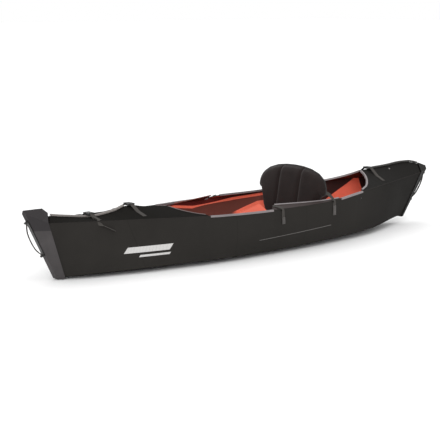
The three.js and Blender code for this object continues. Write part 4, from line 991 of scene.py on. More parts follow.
def dome(name: str, node: str, near: tuple, radius: float, height: float, finish: Finish) -> Piece:
    """Snap head: rings whose radius follows a cosine and height a sine, over a straight skirt a quarter as high.

    Args:
        name: the piece's name.
        node: the CAD node that it sits on.
        near: a point beside the middle of its base.
        radius: its radius.
        height: its height.
        finish: its finish.

    Returns:
        The new object.
    """
    at, axis, _, _ = ray_tree(frame["nodes"][node].data).find_nearest(Vector(near))
    side = axis.orthogonal().normalized()
    other = axis.cross(side)
    rings, sides = 6, 20
    angle = np.linspace(0, math.pi / 2, rings)
    reach = np.concatenate([[1.0], np.maximum(np.cos(angle), 0.02)])
    rise = np.concatenate([[0.0], 0.25 + 0.75 * np.sin(angle)])
    turn = np.linspace(0, 2 * math.pi, sides, endpoint=False)
    ring = np.cos(turn)[:, None] * np.array(side) + np.sin(turn)[:, None] * np.array(other)
    points = np.array(at) + radius * reach[:, None, None] * ring + height * rise[:, None, None] * np.array(axis)
    faces = grid_faces(rings + 1, sides, True).tolist()
    faces += [list(range(sides - 1, -1, -1)), list(range(rings * sides, (rings + 1) * sides))]
    piece = make_mesh(name, points, faces, finish)
    fix_normals(piece)
    piece.data.set_sharp_from_angle(angle=math.radians(60))
    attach(piece, frame["nodes"][node]["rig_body"])
    return piece


def mark_skins(build: bmesh.types.BMesh, look: Vector, mirrored: bool) -> None:
    """Marks a sheet's faces: 0 on its outer skin, 1 on its inner skin and 2 on its cut edges.

    Faces that meet at a low angle are one skin. The two skins are the largest such groups.

    Args:
        build: the sheet's mesh.
        look: the way the outer skin looks.
        mirrored: turns that way's Y with the side that the sheet is on.
    """
    build.faces.ensure_lookup_table()
    left = set(build.faces)
    groups = []
    while left:
        start = left.pop()
        group, queue = [start], [start]
        while queue:
            face = queue.pop()
            for edge in face.edges:
                for other in edge.link_faces:
                    if other in left and edge.calc_face_angle(math.pi) < math.radians(25):
                        left.discard(other)
                        group.append(other)
                        queue.append(other)
        groups.append(group)
    groups.sort(key=lambda group: -sum(face.calc_area() for face in group))
    for group in groups[2:]:
        for face in group:
            face.material_index = 2
    middle = sum(v.co.y for v in build.verts) / len(build.verts)
    way = Vector((look.x, look.y * (math.copysign(1, middle) if mirrored else 1), look.z))
    for group in groups[:2]:
        facing = sum((face.normal * face.calc_area() for face in group), Vector()).dot(way)
        for face in group:
            face.material_index = 0 if facing > 0 else 1


@dataclass
class CopiedPiece:
    """A CAD node shown as a merged copy with rounded edges and smooth faces."""

    node: str
    name: str
    finish: Finish
    rounding: float = 0.0008
    segments: int = 2
    smooth_deg: float = 28.0
    merge_deg: float = 0.6

    def build(self) -> Piece:
        """Makes the copy, rounds its edges, hides the node and rides on its body.

        Returns:
            The new object.
        """
        build = merged(self.node)
        if self.merge_deg:
            bmesh.ops.dissolve_limit(build, angle_limit=math.radians(self.merge_deg), verts=build.verts,
                                     edges=build.edges)
        self.mark(build)
        if self.rounding:
            sharp = [e for e in build.edges if len(e.link_faces) == 2 and e.calc_face_angle(0) > math.radians(35)]
            bmesh.ops.bevel(build, geom=sharp, offset=self.rounding, offset_type="OFFSET", segments=self.segments,
                            profile=0.5, affect="EDGES", clamp_overlap=True)
        mesh = bpy.data.meshes.new(self.name)
        build.to_mesh(mesh)
        build.free()
        shade_faces(mesh)
        mesh.set_sharp_from_angle(angle=math.radians(self.smooth_deg))
        mesh.materials.append(self.finish.material())
        piece = linked(self.name, mesh)
        weighted = piece.modifiers.new("even shading", "WEIGHTED_NORMAL")
        weighted.keep_sharp = True
        weighted.weight = 60
        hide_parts(self.node)
        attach(piece, frame["nodes"][self.node]["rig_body"])
        log.info("piece %s", self.name)
        return piece

    def mark(self, build: bmesh.types.BMesh) -> None:
        """Gives every face the first finish."""
        for face in build.faces:
            face.material_index = 0


@dataclass
class SheetPiece(CopiedPiece):
    """A panel of twin-wall sheet: dark outer face, orange inner face and open cut edges."""

    facing: Facing = Facing.OUTWARD
    inside: Finish = PALETTE.inner
    rounding: float = 0.0006
    merge_deg: float = 0.0

    def build(self) -> Piece:
        """Makes the copy and gives each of its faces the finish of its side.

        Returns:
            The new object.
        """
        piece = super().build()
        mesh = piece.data
        mesh.materials.append(self.inside.material())
        mesh.materials.append(PALETTE.edge.material())
        at = coordinates(mesh)
        across = at[:, 2] if self.facing is Facing.OUTWARD else at[:, 1]
        set_uv(mesh, np.stack([at[:, 0], across], -1))
        mesh.update()
        return piece

    def mark(self, build: bmesh.types.BMesh) -> None:
        """Marks the two skins and the cut edges."""
        look = {Facing.OUTWARD: Vector((0, 1, 0)), Facing.UP: Vector((0, 0, 1)), Facing.DOWN: Vector((0, 0, -1))}
        mark_skins(build, look[self.facing], self.facing is Facing.OUTWARD)


@dataclass
class Hull:
    """The folded sheets, their edge trim and the covers over the two ends."""

    sheet_facing: dict[str, Facing] = field(default_factory=lambda: {
        "hull_bottom": Facing.DOWN,
        "side_left": Facing.OUTWARD, "side_right": Facing.OUTWARD,
        "bow_deck_left": Facing.UP, "bow_deck_right": Facing.UP,
        "stern_deck_left": Facing.UP, "stern_deck_right": Facing.UP,
        "gunwale_flap_left": Facing.UP, "gunwale_flap_right": Facing.UP,
    })
    trims: tuple[str, ...] = ("gunwale_trim_front", "gunwale_trim_rear", "flap_trim", "bow_rim_trim", "stern_rim_trim")

    def build(self) -> None:
        """Builds every sheet, trim, bead, cover and plate."""
        insides = {"side": PALETTE.lining, "bow": PALETTE.underside, "stern": PALETTE.shadowed}
        outsides = {"bow": PALETTE.bow_deck, "stern": PALETTE.stern_deck, "gunwale": PALETTE.flap}
        for node, facing in self.sheet_facing.items():
            part = node.split("_")[0]
            inside, outside = insides.get(part, PALETTE.inner), outsides.get(part, PALETTE.outer)
            SheetPiece(node, node + "_sheet", outside, facing=facing, inside=inside).build()
        for side in Side:
            SheetPiece(f"flap_gusset_{side.word}", f"gusset_sheet_{side.word}", PALETTE.gusset, facing=Facing.UP,
                       inside=PALETTE.shadowed).build()
            for trim in self.trims:
                node = f"{trim}_{side.word}"
                finish = PALETTE.rim if trim == "bow_rim_trim" else PALETTE.trim
                CopiedPiece(node, node + "_channel", finish, 0.0007).build()
        ends = {"bow": (PALETTE.bow_cover, PALETTE.rail), "stern": (PALETTE.stern_cover, PALETTE.dark_rail)}
        for end, (cover, bead) in ends.items():
            CopiedPiece(f"{end}_cover", f"{end}_end_cover", cover, 0.0025, 3).build()
            CopiedPiece(f"{end}_seam_rail", f"{end}_seam_bead", bead, 0.0025, 3).build()
            CopiedPiece(f"{end}_loop_plate", f"{end}_loop_base", PALETTE.moulded, 0.0012, 3).build()


@dataclass
class Creases:
    """Thin webs that join the folded sheets along their creases, where the solids leave a running gap."""

    near: float = 0.0032
    step: float = 0.009
    inner_radius: float = 0.0014
    hinge_radius: float = 0.0014
    sunk: float = 0.0011

    def corners(self, sheet: str, side: str) -> tuple[np.ndarray, np.ndarray]:
        """Points half-way between the facing edges of two sheets.

        Each corner of the first sheet that lies near the second gives the point half-way to it. The points are sorted
        along the boat, and a step parts each row's two corners from the next row's.

        Args:
            sheet: the first sheet's node.
            side: the second sheet's node.

        Returns:
            (n, 3) array sorted by X, and the number of the row that each point belongs to.
        """
        other = ray_tree(frame["nodes"][side].data)
        found = []
        for corner in np.unique(np.round(coordinates(frame["nodes"][sheet].data), 5), axis=0):
            at, _, _, _ = other.find_nearest(Vector(corner), self.near)
            if at is not None:
                found.append((corner + np.array(at)) / 2)
        points = np.array(sorted(found, key=lambda point: point[0]))
        return points, np.concatenate([[0], np.cumsum(np.diff(points[:, 0]) > self.step)])

    def lay(self, name: str, path: np.ndarray, side: Side, radius: float) -> None:
        """Lays a web along a line.

        Args:
            name: the piece's name.
            path: (n, 3) array of points.
            side: the side of the boat.
            radius: half the web's thickness.
        """
        ups = np.repeat([[0.0, side.value, 0.6]], len(path), axis=0)
        web = carried(name, np.column_stack([path, ups]), round_profile(radius, 8), PALETTE.crease)
        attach(web, "hull")
        log.info("crease %s, %d points", name, len(path))

    def build(self) -> None:
        """Builds the webs: inside the bilge creases, and level with the outer skin along the gunwales."""
        for side in Side:
            points, row = self.corners("hull_bottom", f"side_{side.word}")
            total = np.stack([np.bincount(row, points[:, i]) for i in range(3)], -1)
            self.lay(f"bilge_crease_{side.word}", total / np.bincount(row)[:, None], side, self.inner_radius)
            for part in ("bow_deck", "stern_deck", "gunwale_flap"):
                points, row = self.corners(f"{part}_{side.word}", f"side_{side.word}")
                order = np.lexsort((points[:, 2], row))
                highest = points[order[np.append(np.nonzero(np.diff(row[order]))[0], len(order) - 1)]]
                self.lay(f"{part}_crease_{side.word}", highest - (0, 0, self.sunk), side, self.hinge_radius)


@dataclass
class Webbing:
    """Straps and loops of webbing, each carried along the line of its solid."""

    width: float = 0.0245
    narrow: float = 0.0195
    thickness: float = 0.0019
    loop_section: tuple[float, float] = (0.0098, 0.0048)
    rows_per_span: int = 7
    tab_extra: float = 0.002
    box_share: float = 0.38
    box_reach: tuple[float, float] = (0.003, 0.021)
    tab_share: float = 0.36
    tab_reach: tuple[float, ...] = (0.003, 0.0185, 0.034)

    def strip(self, name: str, rows: tuple[PathRow, ...], width: float, node: str, taut: bool = False) -> Piece:
        """One flat strap along its rows, which stands for its solid.

        Args:
            name: the piece's name.
            rows: place and up direction of each point.
            width: the strap's width.
            node: the CAD node that it stands for.
            taut: runs straight between its bends.

        Returns:
            The new object.
        """
        line = np.array(rows)
        table = bent_path(line) if taut else smooth_path(line, (len(rows) - 1) * self.rows_per_span + 1)
        piece = carried(name, table, strap_profile(width, self.thickness), PALETTE.webbing)
        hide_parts(node)
        log.info("strap %s", name)
        return piece

    def over_deck(self, name: str, deck: str) -> None:
        """Both halves of one closing strap, with their anchor plate and stitching.

        Args:
            name: the strap's name in the frame.
            deck: body that carries it.
        """
        rows = path_rows(f"{name}_webbing_right", (0, -1, 0))
        right = self.strip(f"{name}_web_right", rows, self.width, f"{name}_webbing_right")
        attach(right, deck)
        rows = path_rows(f"{name}_webbing_left", (0, 1, 0))
        left = self.strip(f"{name}_web_left", rows, self.width, f"{name}_webbing_left")
        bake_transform(left)
        CopiedPiece(f"{name}_anchor", f"{name}_hook_plate", PALETTE.moulded, 0.0007).build()
        self.stitch_box(f"{name}_stitches", rows[-1], rows[-2], deck)

    def stitch_box(self, name: str, end: PathRow, before: PathRow, body: str) -> None:
        """Box of stitching with a cross, on the last part of a strap.

        Args:
            name: the piece's name.
            end: the strap's last row.
            before: the row before it.
            body: the body that it rides on.
        """
        last, first = np.array(end[:3]), np.array(before[:3])
        run = first - last
        run /= np.linalg.norm(run)
        up = np.array(end[3:])
        up /= np.linalg.norm(up)
        across = np.cross(run, up)
        half, (low, high) = self.width * self.box_share, self.box_reach
        lift = self.thickness / 2 + 0.0001
        corners = [last + beside * across + reach * run + lift * up
                   for beside, reach in ((-half, low), (half, low), (half, high), (-half, high))]
        lines = [[corners[i], corners[j]] for i, j in ((0, 1), (1, 2), (2, 3), (3, 0), (0, 2), (1, 3))]
        piece = stitching(name, lines, up)
        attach(piece, body)

    def over_gunwale(self, name: str, node: str, body: str, tab_rows: int, follows: str = "") -> None:
        """A strap over the gunwale, held under a sewn tab on the outside of the side.

        Args:
            name: the piece's name.
            node: its node, which names its line.
            body: the body that its tab is fixed to.
            tab_rows: how many of the line's first rows the tab covers.
            follows: the body that its other end follows, if it isn't the same.
        """
        rows = path_rows(node, (0, 0, -1))
        piece = self.strip(name, rows, self.narrow, node)
        if follows:
            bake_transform(piece)
        else:
            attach(piece, body)
        up = np.array(rows[1][3:])
        foot, head = np.array(rows[0][:3]), np.array(rows[2][:3])
        table = smooth_path(np.array(rows[:tab_rows]), 4 * tab_rows)
        over = table[:, :3] + (self.thickness + 0.0001) * unit(table[:, 3:])
        profile = strap_profile(self.narrow + self.tab_extra, self.thickness)
        tab = carried(name + "_tab", np.column_stack([over, table[:, 3:]]), profile, PALETTE.tab)
        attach(tab, body)
        lift = 1.5 * self.thickness + 0.0003
        half, reach = self.narrow * self.tab_share, self.tab_reach
        run = (head - foot) / np.linalg.norm(head - foot)
        across = np.cross(run, up)
        ladder = [[foot + side * across * half + run * s + lift * up for side in (-1, 1)] for s in reach]
        lines = [[ladder[0][i], ladder[-1][i]] for i in (0, 1)] + ladder
        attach(stitching(name + "_stitches", lines, up), body)

    def build(self) -> None:
        """Builds every strap."""
        self.over_deck("bow_strap_1", "bow_deck_left")
        self.over_deck("bow_strap_2", "bow_deck_left")
        self.over_deck("stern_strap", "stern_deck_left")
        for side in Side:
            self.over_gunwale(f"front_strap_{side.word}", f"side_strap_front_{side.word}", "hull", 3)
            self.over_gunwale(f"seat_sling_{side.word}", f"seat_strap_{side.word}", "hull", 4, "seat_back")
            rows = path_rows(f"foot_strap_{side.word}", (-1, 0, 0))
            sling = self.strip(f"foot_sling_{side.word}", rows, self.narrow, f"foot_strap_{side.word}", taut=True)
            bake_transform(sling)
        for end, outward in (("bow", -1), ("stern", 1)):
            node = f"{end}_grab_loop"
            table = smooth_path(np.array(path_rows(node, (0, 0, 1), (outward, 0, -1))), 81)
            loop = carried(f"{end}_pull_loop", table, strap_profile(*self.loop_section), PALETTE.webbing)
            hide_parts(node)
            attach(loop, node)


def stitching(name: str, lines: list, up: np.ndarray, finish: Finish = PALETTE.thread) -> Piece:
    """Row of raised thread stitches along straight lines.

    Each stitch is a small flattened capsule of eight corners, one at each 3.4 mm of its line.

    Args:
        name: the piece's name.
        lines: pairs of end points.
        up: the way the stitches stand out.
        finish: the thread's finish.

    Returns:
        The new object.
    """
    pitch, length, breadth, height = 0.0034, 0.0024, 0.0007, 0.0004
    centres, runs = [], []
    for a, b in lines:
        span = np.linalg.norm(np.subtract(b, a))
        count = max(2, int(span / pitch))
        share = (np.arange(count) + 0.5) / count
        centres.append(np.array(a) + share[:, None] * np.subtract(b, a))
        runs.append(np.repeat([np.subtract(b, a) / span], count, axis=0))
    centre, run = np.vstack(centres), np.vstack(runs)
    up = np.array(up) / np.linalg.norm(up)
    across = unit(np.cross(run, up))
    shape = np.array([[-1, -0.5, 0], [-1, 0.5, 0], [1, 0.5, 0], [1, -0.5, 0],
                      [-0.7, -0.35, 1], [-0.7, 0.35, 1], [0.7, 0.35, 1], [0.7, -0.35, 1]])
    parts = (shape[None, :, :1] * run[:, None] * length / 2, shape[None, :, 1:2] * across[:, None] * breadth,
             shape[None, :, 2:] * up * height)
    points = centre[:, None] + parts[0] + parts[1] + parts[2]
    quads = np.array([[0, 1, 2, 3], [7, 6, 5, 4], [0, 4, 5, 1], [1, 5, 6, 2], [2, 6, 7, 3], [3, 7, 4, 0]])
    faces = (quads[None] + 8 * np.arange(len(centre))[:, None, None]).reshape(-1, 4)
    piece = make_mesh(name, points, faces.tolist(), finish, smooth=False)
    fix_normals(piece)
    return piece


@dataclass
class Buckles:
    """Side-release buckles of the closing straps."""

    names: tuple[str, ...] = ("bow_strap_1", "bow_strap_2", "stern_strap")

    def build(self) -> None:
        """Builds each socket and plug."""
        for name in self.names:
            CopiedPiece(f"{name}_socket", f"{name}_buckle_socket", PALETTE.moulded, 0.0012, 3).build()
            CopiedPiece(f"{name}_plug", f"{name}_buckle_plug", PALETTE.moulded, 0.0009, 3).build()


def coordinates(mesh: Mesh) -> np.ndarray:
    """A mesh's vertices as an (n, 3) array."""
    at = np.empty(len(mesh.vertices) * 3)
    mesh.vertices.foreach_get("co", at)
    return at.reshape(-1, 3)


def puffed(piece: Piece, pressure: float, cap: float) -> np.ndarray:
    """How far each point moves when the piece is blown up as cloth.

    Args:
        piece: the piece, which is left as it is.
        pressure: cloth pressure.
        cap: largest movement, in metres.

    Returns:
        (n, 3) array of movements.
    """
    start = coordinates(piece.data)
    cloth = piece.modifiers.new("puff", "CLOTH")
    cloth.settings.use_pressure = True
    cloth.settings.uniform_pressure_force = pressure
    cloth.settings.effector_weights.gravity = 0.0
    cloth.settings.quality = 5
    scene, frames = bpy.context.scene, 20
    for number in range(1, frames + 1):
        scene.frame_set(number)
    shown = piece.evaluated_get(bpy.context.evaluated_depsgraph_get())
    moved = coordinates(shown.data) - start
    piece.modifiers.remove(cloth)
    scene.frame_set(1)
    size = np.linalg.norm(moved, axis=1, keepdims=True)
    return moved * np.minimum(1.0, cap / np.maximum(size, 1e-9))


def drawn_in(off: np.ndarray, width: float, depth: float, facing: np.ndarray, normal: np.ndarray) -> np.ndarray:
    """Movement of points that a seam draws in.

    Args:
        off: each point's distance from the seam.
        width: distance at which the pull has fallen to 37 percent.
        depth: pull at the seam.
        facing: how far each point looks the way of the sewn face, up to 1.
        normal: (n, 3) array of normals.

    Returns:
        (n, 3) array of movements.
    """
    pull = depth * np.exp(-((off / width) ** 2)) * np.clip(facing * 1.6, 0, 1)
    return -pull[:, None] * normal


def applied(piece: Piece, kind: str, **settings: object) -> None:
    """Remakes a piece's mesh by one modifier.

    Args:
        piece: the piece.
        kind: the modifier's type.
        settings: its properties.
    """
    modifier = piece.modifiers.new(kind.lower(), kind)
    for key, value in settings.items():
        setattr(modifier, key, value)
    shown = piece.evaluated_get(bpy.context.evaluated_depsgraph_get())
    mesh = bpy.data.meshes.new_from_object(shown)
    piece.modifiers.remove(modifier)
    piece.data = mesh


@dataclass
class Cushion:
    """A padded piece: a merged copy of its solid, remeshed, puffed up, then sewn."""

    node: str
    name: str
    finish: Finish
    slot: str
    cap: float
    fill: float
    voxel: float = 0.005
    pressure: float = 4.0

    def blank(self) -> Piece:
        """Even-faced copy of the solid.

        Returns:
            The new object.
        """
        build = merged(self.node)
        mesh = bpy.data.meshes.new(self.name)
        build.to_mesh(mesh)
        build.free()
        piece = linked(self.name, mesh)
        applied(piece, "REMESH", mode="VOXEL", voxel_size=self.voxel, use_smooth_shade=True)
        return piece

    def hold(self, at: np.ndarray) -> np.ndarray:
        """Share of the puffing that each point keeps."""
        return np.ones((len(at), 1))

    def sew(self, at: np.ndarray, normal: np.ndarray) -> np.ndarray:
        """Movement of each point that draws in the seams."""
        return np.zeros_like(at)

    def build(self) -> Piece:
        """Makes the cushion.

        Returns:
            The new object.
        """
        piece = self.blank()
        start = coordinates(piece.data)
        moved = puffed(piece, self.pressure, self.cap) * self.hold(start)
        piece.data.vertices.foreach_set("co", (start + moved).ravel())
        piece.data.update()
        applied(piece, "SUBSURF", levels=1, render_levels=1)
        at = coordinates(piece.data)
        normal = np.empty(len(at) * 3)
        piece.data.vertices.foreach_get("normal", normal)
        piece.data.vertices.foreach_set("co", (at + self.sew(at, normal.reshape(-1, 3))).ravel())
        shade_faces(piece.data)
        piece.data.materials.clear()
        piece.data.materials.append(self.finish.material())
        piece.data.update()
        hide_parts(self.node)
        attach(piece, frame["nodes"][self.node]["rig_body"])
        log.info("cushion %s, %d faces", self.name, len(piece.data.polygons))
        return piece


# Seat back: pivot, lean, heights of its foot and top, half its width, and its outline as shares of these
SEAT_PIVOT = np.array([0.318, 0.0, 0.290])
SEAT_LEAN = 0.16
SEAT_FOOT, SEAT_TOP, SEAT_HALF = 0.096, 0.440, 0.276
SEAT_LOW = ((0, 0), (0.45, 0), (0.6, 0.04), (0.72, 0.2), (0.83, 0.42), (0.87, 0.54), (0.985, 0.575), (1, 0.6))
SEAT_HIGH = ((0, 1), (0.25, 0.992), (0.5, 0.965), (0.74, 0.905), (0.9, 0.82), (0.975, 0.72), (1, 0.63))


def lean(at: np.ndarray, way: int = 1) -> np.ndarray:
    """Turns points from the upright seat back to the leaning one, or back again.

    Args:
        at: (n, 3) array.
        way: 1 to lean, -1 to stand upright.

    Returns:
        (n, 3) array.
    """
    angle = way * SEAT_LEAN
    off = at - SEAT_PIVOT
    x = off[:, 0] * math.cos(angle) + off[:, 2] * math.sin(angle)
    z = off[:, 2] * math.cos(angle) - off[:, 0] * math.sin(angle)
    return np.stack([x, off[:, 1], z], -1) + SEAT_PIVOT


@dataclass
class SeatBack(Cushion):
    """Half-moon seat back with two upright seams and piping round its edge."""

    seam_at: float = 0.085
    seam_width: float = 0.0045
    seam_depth: float = 0.0020
    stitch_gap: float = 0.0065
    stitch_inset: float = 0.03
    piping_radius: float = 0.0034

    def hold(self, at: np.ndarray) -> np.ndarray:
        """Keeps the back, which lies on the board, and the rim; the front puffs up."""
        upright = lean(at, -1)
        depth = SEAT_PIVOT[0] - upright[:, 0]
        front = np.clip((depth - 0.004) / 0.012, 0, 1)
        return np.stack([front, 0.25 * front, 0.25 * front], -1)

    def sew(self, at: np.ndarray, normal: np.ndarray) -> np.ndarray:
        """Draws in the two seams on the front."""
        off = np.minimum(np.abs(at[:, 1] - self.seam_at), np.abs(at[:, 1] + self.seam_at))
        return drawn_in(off, self.seam_width, self.seam_depth, -normal[:, 0], normal)

    def outline(self) -> np.ndarray:
        """Closed line round the upright seat back, at the middle of its rim.

        Returns:
            (n, 3) array.
        """
        share = np.concatenate([np.linspace(0, 0.9, 40), np.linspace(0.91, 1, 14)])
        low = np.interp(share, *np.array(SEAT_LOW).T)
        high = np.interp(share, *np.array(SEAT_HIGH).T)
        y = np.concatenate([share, share[::-1]]) * SEAT_HALF
        z = SEAT_FOOT + (SEAT_TOP - SEAT_FOOT) * np.concatenate([low, high[::-1]])
        half = np.stack([y, z], -1)
        loop = np.vstack([half[1:-1], (half[1:-1] * (-1, 1))[::-1]])
        closed = np.vstack([loop, loop[:1]])
        length = lengths(closed)
        even = np.linspace(0, length[-1], 361)[:-1]
        line = np.stack([np.interp(even, length, closed[:, i]) for i in (0, 1)], -1)
        for _ in range(4):
            line = (np.roll(line, 1, 0) + 2 * line + np.roll(line, -1, 0)) / 4
        return lean(np.column_stack([np.full(len(line), SEAT_PIVOT[0] - 0.0035), line]))

    def build(self) -> Piece:
        """Makes the seat back, its piping, its stitching and its board.

        Returns:
            The padded piece.
        """
        piece = super().build()
        line = self.outline()
        profile = round_profile(self.piping_radius)
        run = unit(np.roll(line, -1, 0) - np.roll(line, 1, 0))
        points = swept(line, run, (1.0, 0.0, 0.0), profile)
        faces = grid_faces(len(line) + 1, len(profile), True) % (len(line) * len(profile))
        piping = make_mesh("seat_piping", points, faces.tolist(), PALETTE.piping)
        fix_normals(piping)
        around = np.repeat(np.arange(len(line)) * 0.0045, len(profile))
        set_uv(piping.data, np.stack([around, np.tile(np.linspace(0, 0.021, len(profile)), len(line))], -1))
        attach(piping, "seat_back")
        self.thread(piece)
        CopiedPiece("seat_back_board", "seat_stiffener", PALETTE.moulded, 0.0008).build()
        return piece

    def thread(self, piece: Piece) -> None:
        """Stitches beside the two seams, laid on the cushion's front.

        Args:
            piece: the cushion.
        """
        tree = ray_tree(piece.data)
        lines = []
        for side in Side:
            for gap in (-self.stitch_gap, self.stitch_gap):
                y = side.value * (self.seam_at + gap)
                points = []
                for z in np.linspace(SEAT_FOOT + self.stitch_inset, SEAT_TOP - self.stitch_inset, 24):
                    origin = lean(np.array([[SEAT_PIVOT[0] - 0.2, y, z]]))[0]
                    way = lean(np.array([[SEAT_PIVOT[0], y, z]]))[0] - origin
                    at, _, _, _ = tree.ray_cast(Vector(origin), Vector(way).normalized(), 0.3)
                    if at is not None:
                        points.append(np.array(at))
                lines += [[a, b] for a, b in zip(points[:-1], points[1:])]
        up = lean(np.array([[SEAT_PIVOT[0] - 1.0, 0, SEAT_PIVOT[2]]]))[0] - SEAT_PIVOT
        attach(stitching("seat_stitches", lines, up, PALETTE.seat_thread), "seat_back")


@dataclass
class SeatPad(Cushion):
    """Seat pad with two sewn channels across it."""

    channels: tuple[float, ...] = (0.0664, 0.1836)
    channel_width: float = 0.004
    channel_depth: float = 0.005
    floor: float = 0.0114

    def hold(self, at: np.ndarray) -> np.ndarray:
        """Keeps the underside, which lies on the floor."""
        free = np.clip((at[:, 2] - self.floor - 0.006) / 0.015, 0, 1)
        return np.stack([0.4 * free, 0.4 * free, free], -1)

    def sew(self, at: np.ndarray, normal: np.ndarray) -> np.ndarray:
        """Draws in the channels across the top."""
        off = np.min(np.abs(at[:, :1] - np.array(self.channels)), axis=1)
        return drawn_in(off, self.channel_width, self.channel_depth, normal[:, 2], normal)


@dataclass
class Fittings:
    """Floor panels, foot bar, carrying handle, one snap and one rivet."""

    def build(self) -> None:
        """Builds each fitting."""
        for part in ("front", "rear"):
            SheetPiece(f"floor_{part}", f"floor_panel_{part}", PALETTE.floor_board, facing=Facing.UP).build()
            CopiedPiece(f"handle_mount_{part}", f"handle_base_{part}", PALETTE.moulded, 0.001).build()
        SheetPiece("foot_bar", "foot_rest", PALETTE.outer, facing=Facing.UP).build()
        CopiedPiece("carry_handle", "case_handle", PALETTE.moulded, 0.0018, 3).build()
        dome("deck_snap", "stern_deck_left", (1.109, -0.027, 0.353), 0.0055, 0.0030, PALETTE.snap)
        dome("side_rivet", "side_left", (0.646, -0.234, 0.241), 0.0045, 0.0022, PALETTE.moulded)


@dataclass
class Decal:
    """A thin film on the outside of a side: a band between two lines in X and Z."""

    name: str
    finish: Finish
    low: tuple[tuple[float, float], tuple[float, float]]
    high: tuple[tuple[float, float], tuple[float, float]]
    lift: float = 0.0004
    columns: int = 40
    rows: int = 8

    def build(self, side: Side) -> None:
        """Lays the film on one side.

        Args:
            side: the side of the boat.
        """
        tree = ray_tree(frame["nodes"][f"side_{side.word}"].data)
        columns, rows = self.columns, self.rows
        along = np.linspace(0, 1, columns)[:, None]
        low, high = (np.array(a) * (1 - along) + np.array(b) * along for a, b in (self.low, self.high))
        up = np.linspace(0, 1, rows)[None, :, None]
        flat = (low[:, None] * (1 - up) + high[:, None] * up).reshape(-1, 2)
        outer = []
        for x, z in flat:
            at, normal, _, _ = tree.ray_cast(Vector((x, side.value * 0.6, z)), Vector((0, -side.value, 0)))
            if at is None:
                raise ValueError(f"{self.name}: nothing to lie on at {x:.3f}, {z:.3f}")
            outer.append((np.array(at), np.array(normal)))
        at = np.array([o[0] for o in outer])
        normal = np.array([o[1] for o in outer])
        points = np.vstack([at + self.lift * normal, at + 0.0001 * normal])
        front = grid_faces(columns, rows, False)
        count = columns * rows
        rim = [*range(rows), *range(2 * rows - 1, count, rows), *range(count - 2, count - rows - 1, -1),
               *range(count - 2 * rows, 0, -rows)]
        walls = [[a, b, b + count, a + count] for a, b in zip(rim, rim[1:] + rim[:1])]
        faces = front.tolist() + (front[:, ::-1] + count).tolist() + walls
        piece = make_mesh(f"{self.name}_{side.word}", points, faces, self.finish, smooth=False)
        fix_normals(piece)
        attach(piece, "hull")


@dataclass
class Markings:
    """Plain reflective bands and a thin stripe on each side."""

    bands: tuple[tuple[float, float, float, float, float], ...] = (
        (-0.985, -0.735, 0.112, 0.142, 0.022), (-0.905, -0.735, 0.088, 0.099, 0.008),
    )

    def build(self) -> None:
        """Builds the bands and the stripe on both sides."""
        for side in Side:
            for i, (front, rear, low, high, slant) in enumerate(self.bands):
                Decal(f"reflective_band_{i + 1}", PALETTE.tape, ((front, low), (rear, low)),
                      ((front + slant, high), (rear + slant, high))).build(side)
            Decal("thin_stripe", PALETTE.stripe, ((-0.18, 0.0995), (0.37, 0.1195)),
                  ((-0.18, 0.102), (0.37, 0.122))).build(side)


@dataclass
class SlackTail:
    """Loose end of a closing strap: lies on the deck, bends over its crease and hangs on edge along the side."""

    name: str
    deck: str
    start: tuple[tuple[float, float, float], ...]
    over: tuple[float, float]
    stop: tuple[float, float]
    width: float = 0.0165
    thickness: float = 0.0018
    clearance: float = 0.0020
    twist: float = math.radians(76)
    twist_share: float = 0.22

    def build(self) -> None:
        """Lays the tail on the deck and down the side.

        On the side the line runs straight in X and Z, and each point is moved onto the outer face along Y. The tail
        turns on edge over the first part of that line, so it stands off by half its width times the turn's sine.
        """
        side = ray_tree(frame["nodes"]["side_left"].data)
        share = np.linspace(0.0, 1.0, 9)[:, None]
        flat = np.array(self.over) * (1 - share) + np.array(self.stop) * share
        hits = [side.ray_cast(Vector((x, -0.6, z)), Vector((0, 1, 0)))[:2] for x, z in flat]
        at, normal = np.array([hit[0] for hit in hits]), np.array([hit[1] for hit in hits])
        turn = self.twist * np.clip(share / self.twist_share, 0, 1)
        beside = np.cross(normal, unit(np.gradient(at, axis=0)))
        hung = at + (self.clearance + self.width / 2 * np.sin(turn)) * normal
        crease = hung[:1] + np.array([[0.0, 0.005, 0.010]])
        places = np.vstack([np.array(self.start), crease, hung])
        resting = np.repeat([[0.0, -0.25, 0.97]], len(self.start), axis=0)
        ups = np.vstack([resting, [[0.0, -0.7, 0.7]], normal * np.cos(turn) + beside * np.sin(turn)])
        table = smooth_path(np.column_stack([places, ups]), 110)
        piece = carried(self.name, table, strap_profile(self.width, self.thickness), PALETTE.webbing)
        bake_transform(piece)


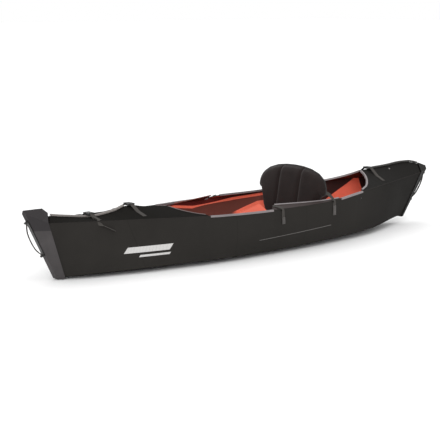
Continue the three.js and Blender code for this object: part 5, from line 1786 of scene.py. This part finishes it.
@dataclass
class Studio:
    """Floor, light and camera."""

    target: Vector = field(default_factory=lambda: Vector((-0.226, 0.0, 0.180)))
    eye: Vector = field(default_factory=lambda: Vector((-4.575, -5.183, 1.373)))
    lens: float = 102.0

    def build(self) -> None:
        """Builds the floor, the lamps and the camera."""
        self.floor()
        self.world()
        self.lamp("key", (-0.66, -0.66, 0.45), 40.0, 1.6)
        self.lamp("fill", (0.2, 0.2, 1.0), 80.0, 0.85)
        data = bpy.data.cameras.new("camera")
        data.lens = self.lens
        data.sensor_width = 36.0
        data.clip_end = 200.0
        camera = linked("camera", data)
        camera.location = self.eye
        camera.rotation_euler = (self.target - self.eye).to_track_quat("-Z", "Y").to_euler()
        bpy.context.scene.camera = camera
        bpy.context.scene.view_settings.view_transform = "Standard"

    def floor(self) -> None:
        """Makes the pale floor."""
        corners = 60.0 * np.array([[-1, -1, 0], [1, -1, 0], [1, 1, 0], [-1, 1, 0]])
        finish = PlainFinish("pale floor", (0.9, 0.9, 0.9), 0.9, 0.1)
        piece = make_mesh("studio_floor", corners, [[0, 1, 2, 3]], finish, smooth=False)

    def world(self) -> None:
        """White surroundings, seen at full strength and giving a soft even light."""
        world = bpy.data.worlds.new("studio")
        world.use_nodes = True
        world.node_tree.nodes.clear()
        nodes = Nodes(world.node_tree)
        path = nodes.add("LightPath")
        light = nodes.add("Background", {"Strength": 0.85})
        shown = nodes.add("Background", {"Strength": 1.0})
        mix = nodes.add("MixShader")
        out = nodes.add("OutputWorld")
        for node in (light, shown):
            node.inputs["Color"].default_value = (1.0, 1.0, 1.0, 1.0)
        nodes.join(path.outputs["Is Camera Ray"], mix.inputs[0])
        nodes.join(light.outputs[0], mix.inputs[1])
        nodes.join(shown.outputs[0], mix.inputs[2])
        nodes.join(mix.outputs[0], out.inputs[0])
        bpy.context.scene.world = world

    def lamp(self, name: str, towards: tuple[float, float, float], spread: float, strength: float) -> None:
        """Adds a wide, soft sun, whose light is even over the whole floor.

        Args:
            name: the lamp's name.
            towards: the way from the boat to the lamp.
            spread: angle that it fills, in degrees.
            strength: its strength.
        """
        data = bpy.data.lights.new(name, "SUN")
        data.angle = math.radians(spread)
        data.energy = strength
        lamp = linked(name, data)
        lamp.location = Vector(towards) * 5
        lamp.rotation_euler = (-Vector(towards)).to_track_quat("-Z", "Y").to_euler()


def main() -> None:
    """Builds the boat, one sub-assembly after another."""
    logging.basicConfig(level=logging.INFO, format="%(name)s: %(message)s")
    Studio().build()
    log.info("studio")
    Hull().build()
    Creases().build()
    Webbing().build()
    Buckles().build()
    SeatBack("seat_back", "seat_cushion", PALETTE.seat_cloth, "seat_fabric", 0.010, 0.5).build()
    SeatPad("seat_pad", "seat_base_cushion", PALETTE.pad_cloth, "seat_foam", 0.006, 0.6).build()
    Fittings().build()
    Markings().build()
    start = (-1.0925, -0.047, 0.3008), (-1.0960, -0.088, 0.2953)
    SlackTail("bow_slack_tail", "bow_deck_left", start, (-1.106, 0.275), (-1.027, 0.234)).build()


if __name__ == "__main__":
    main()
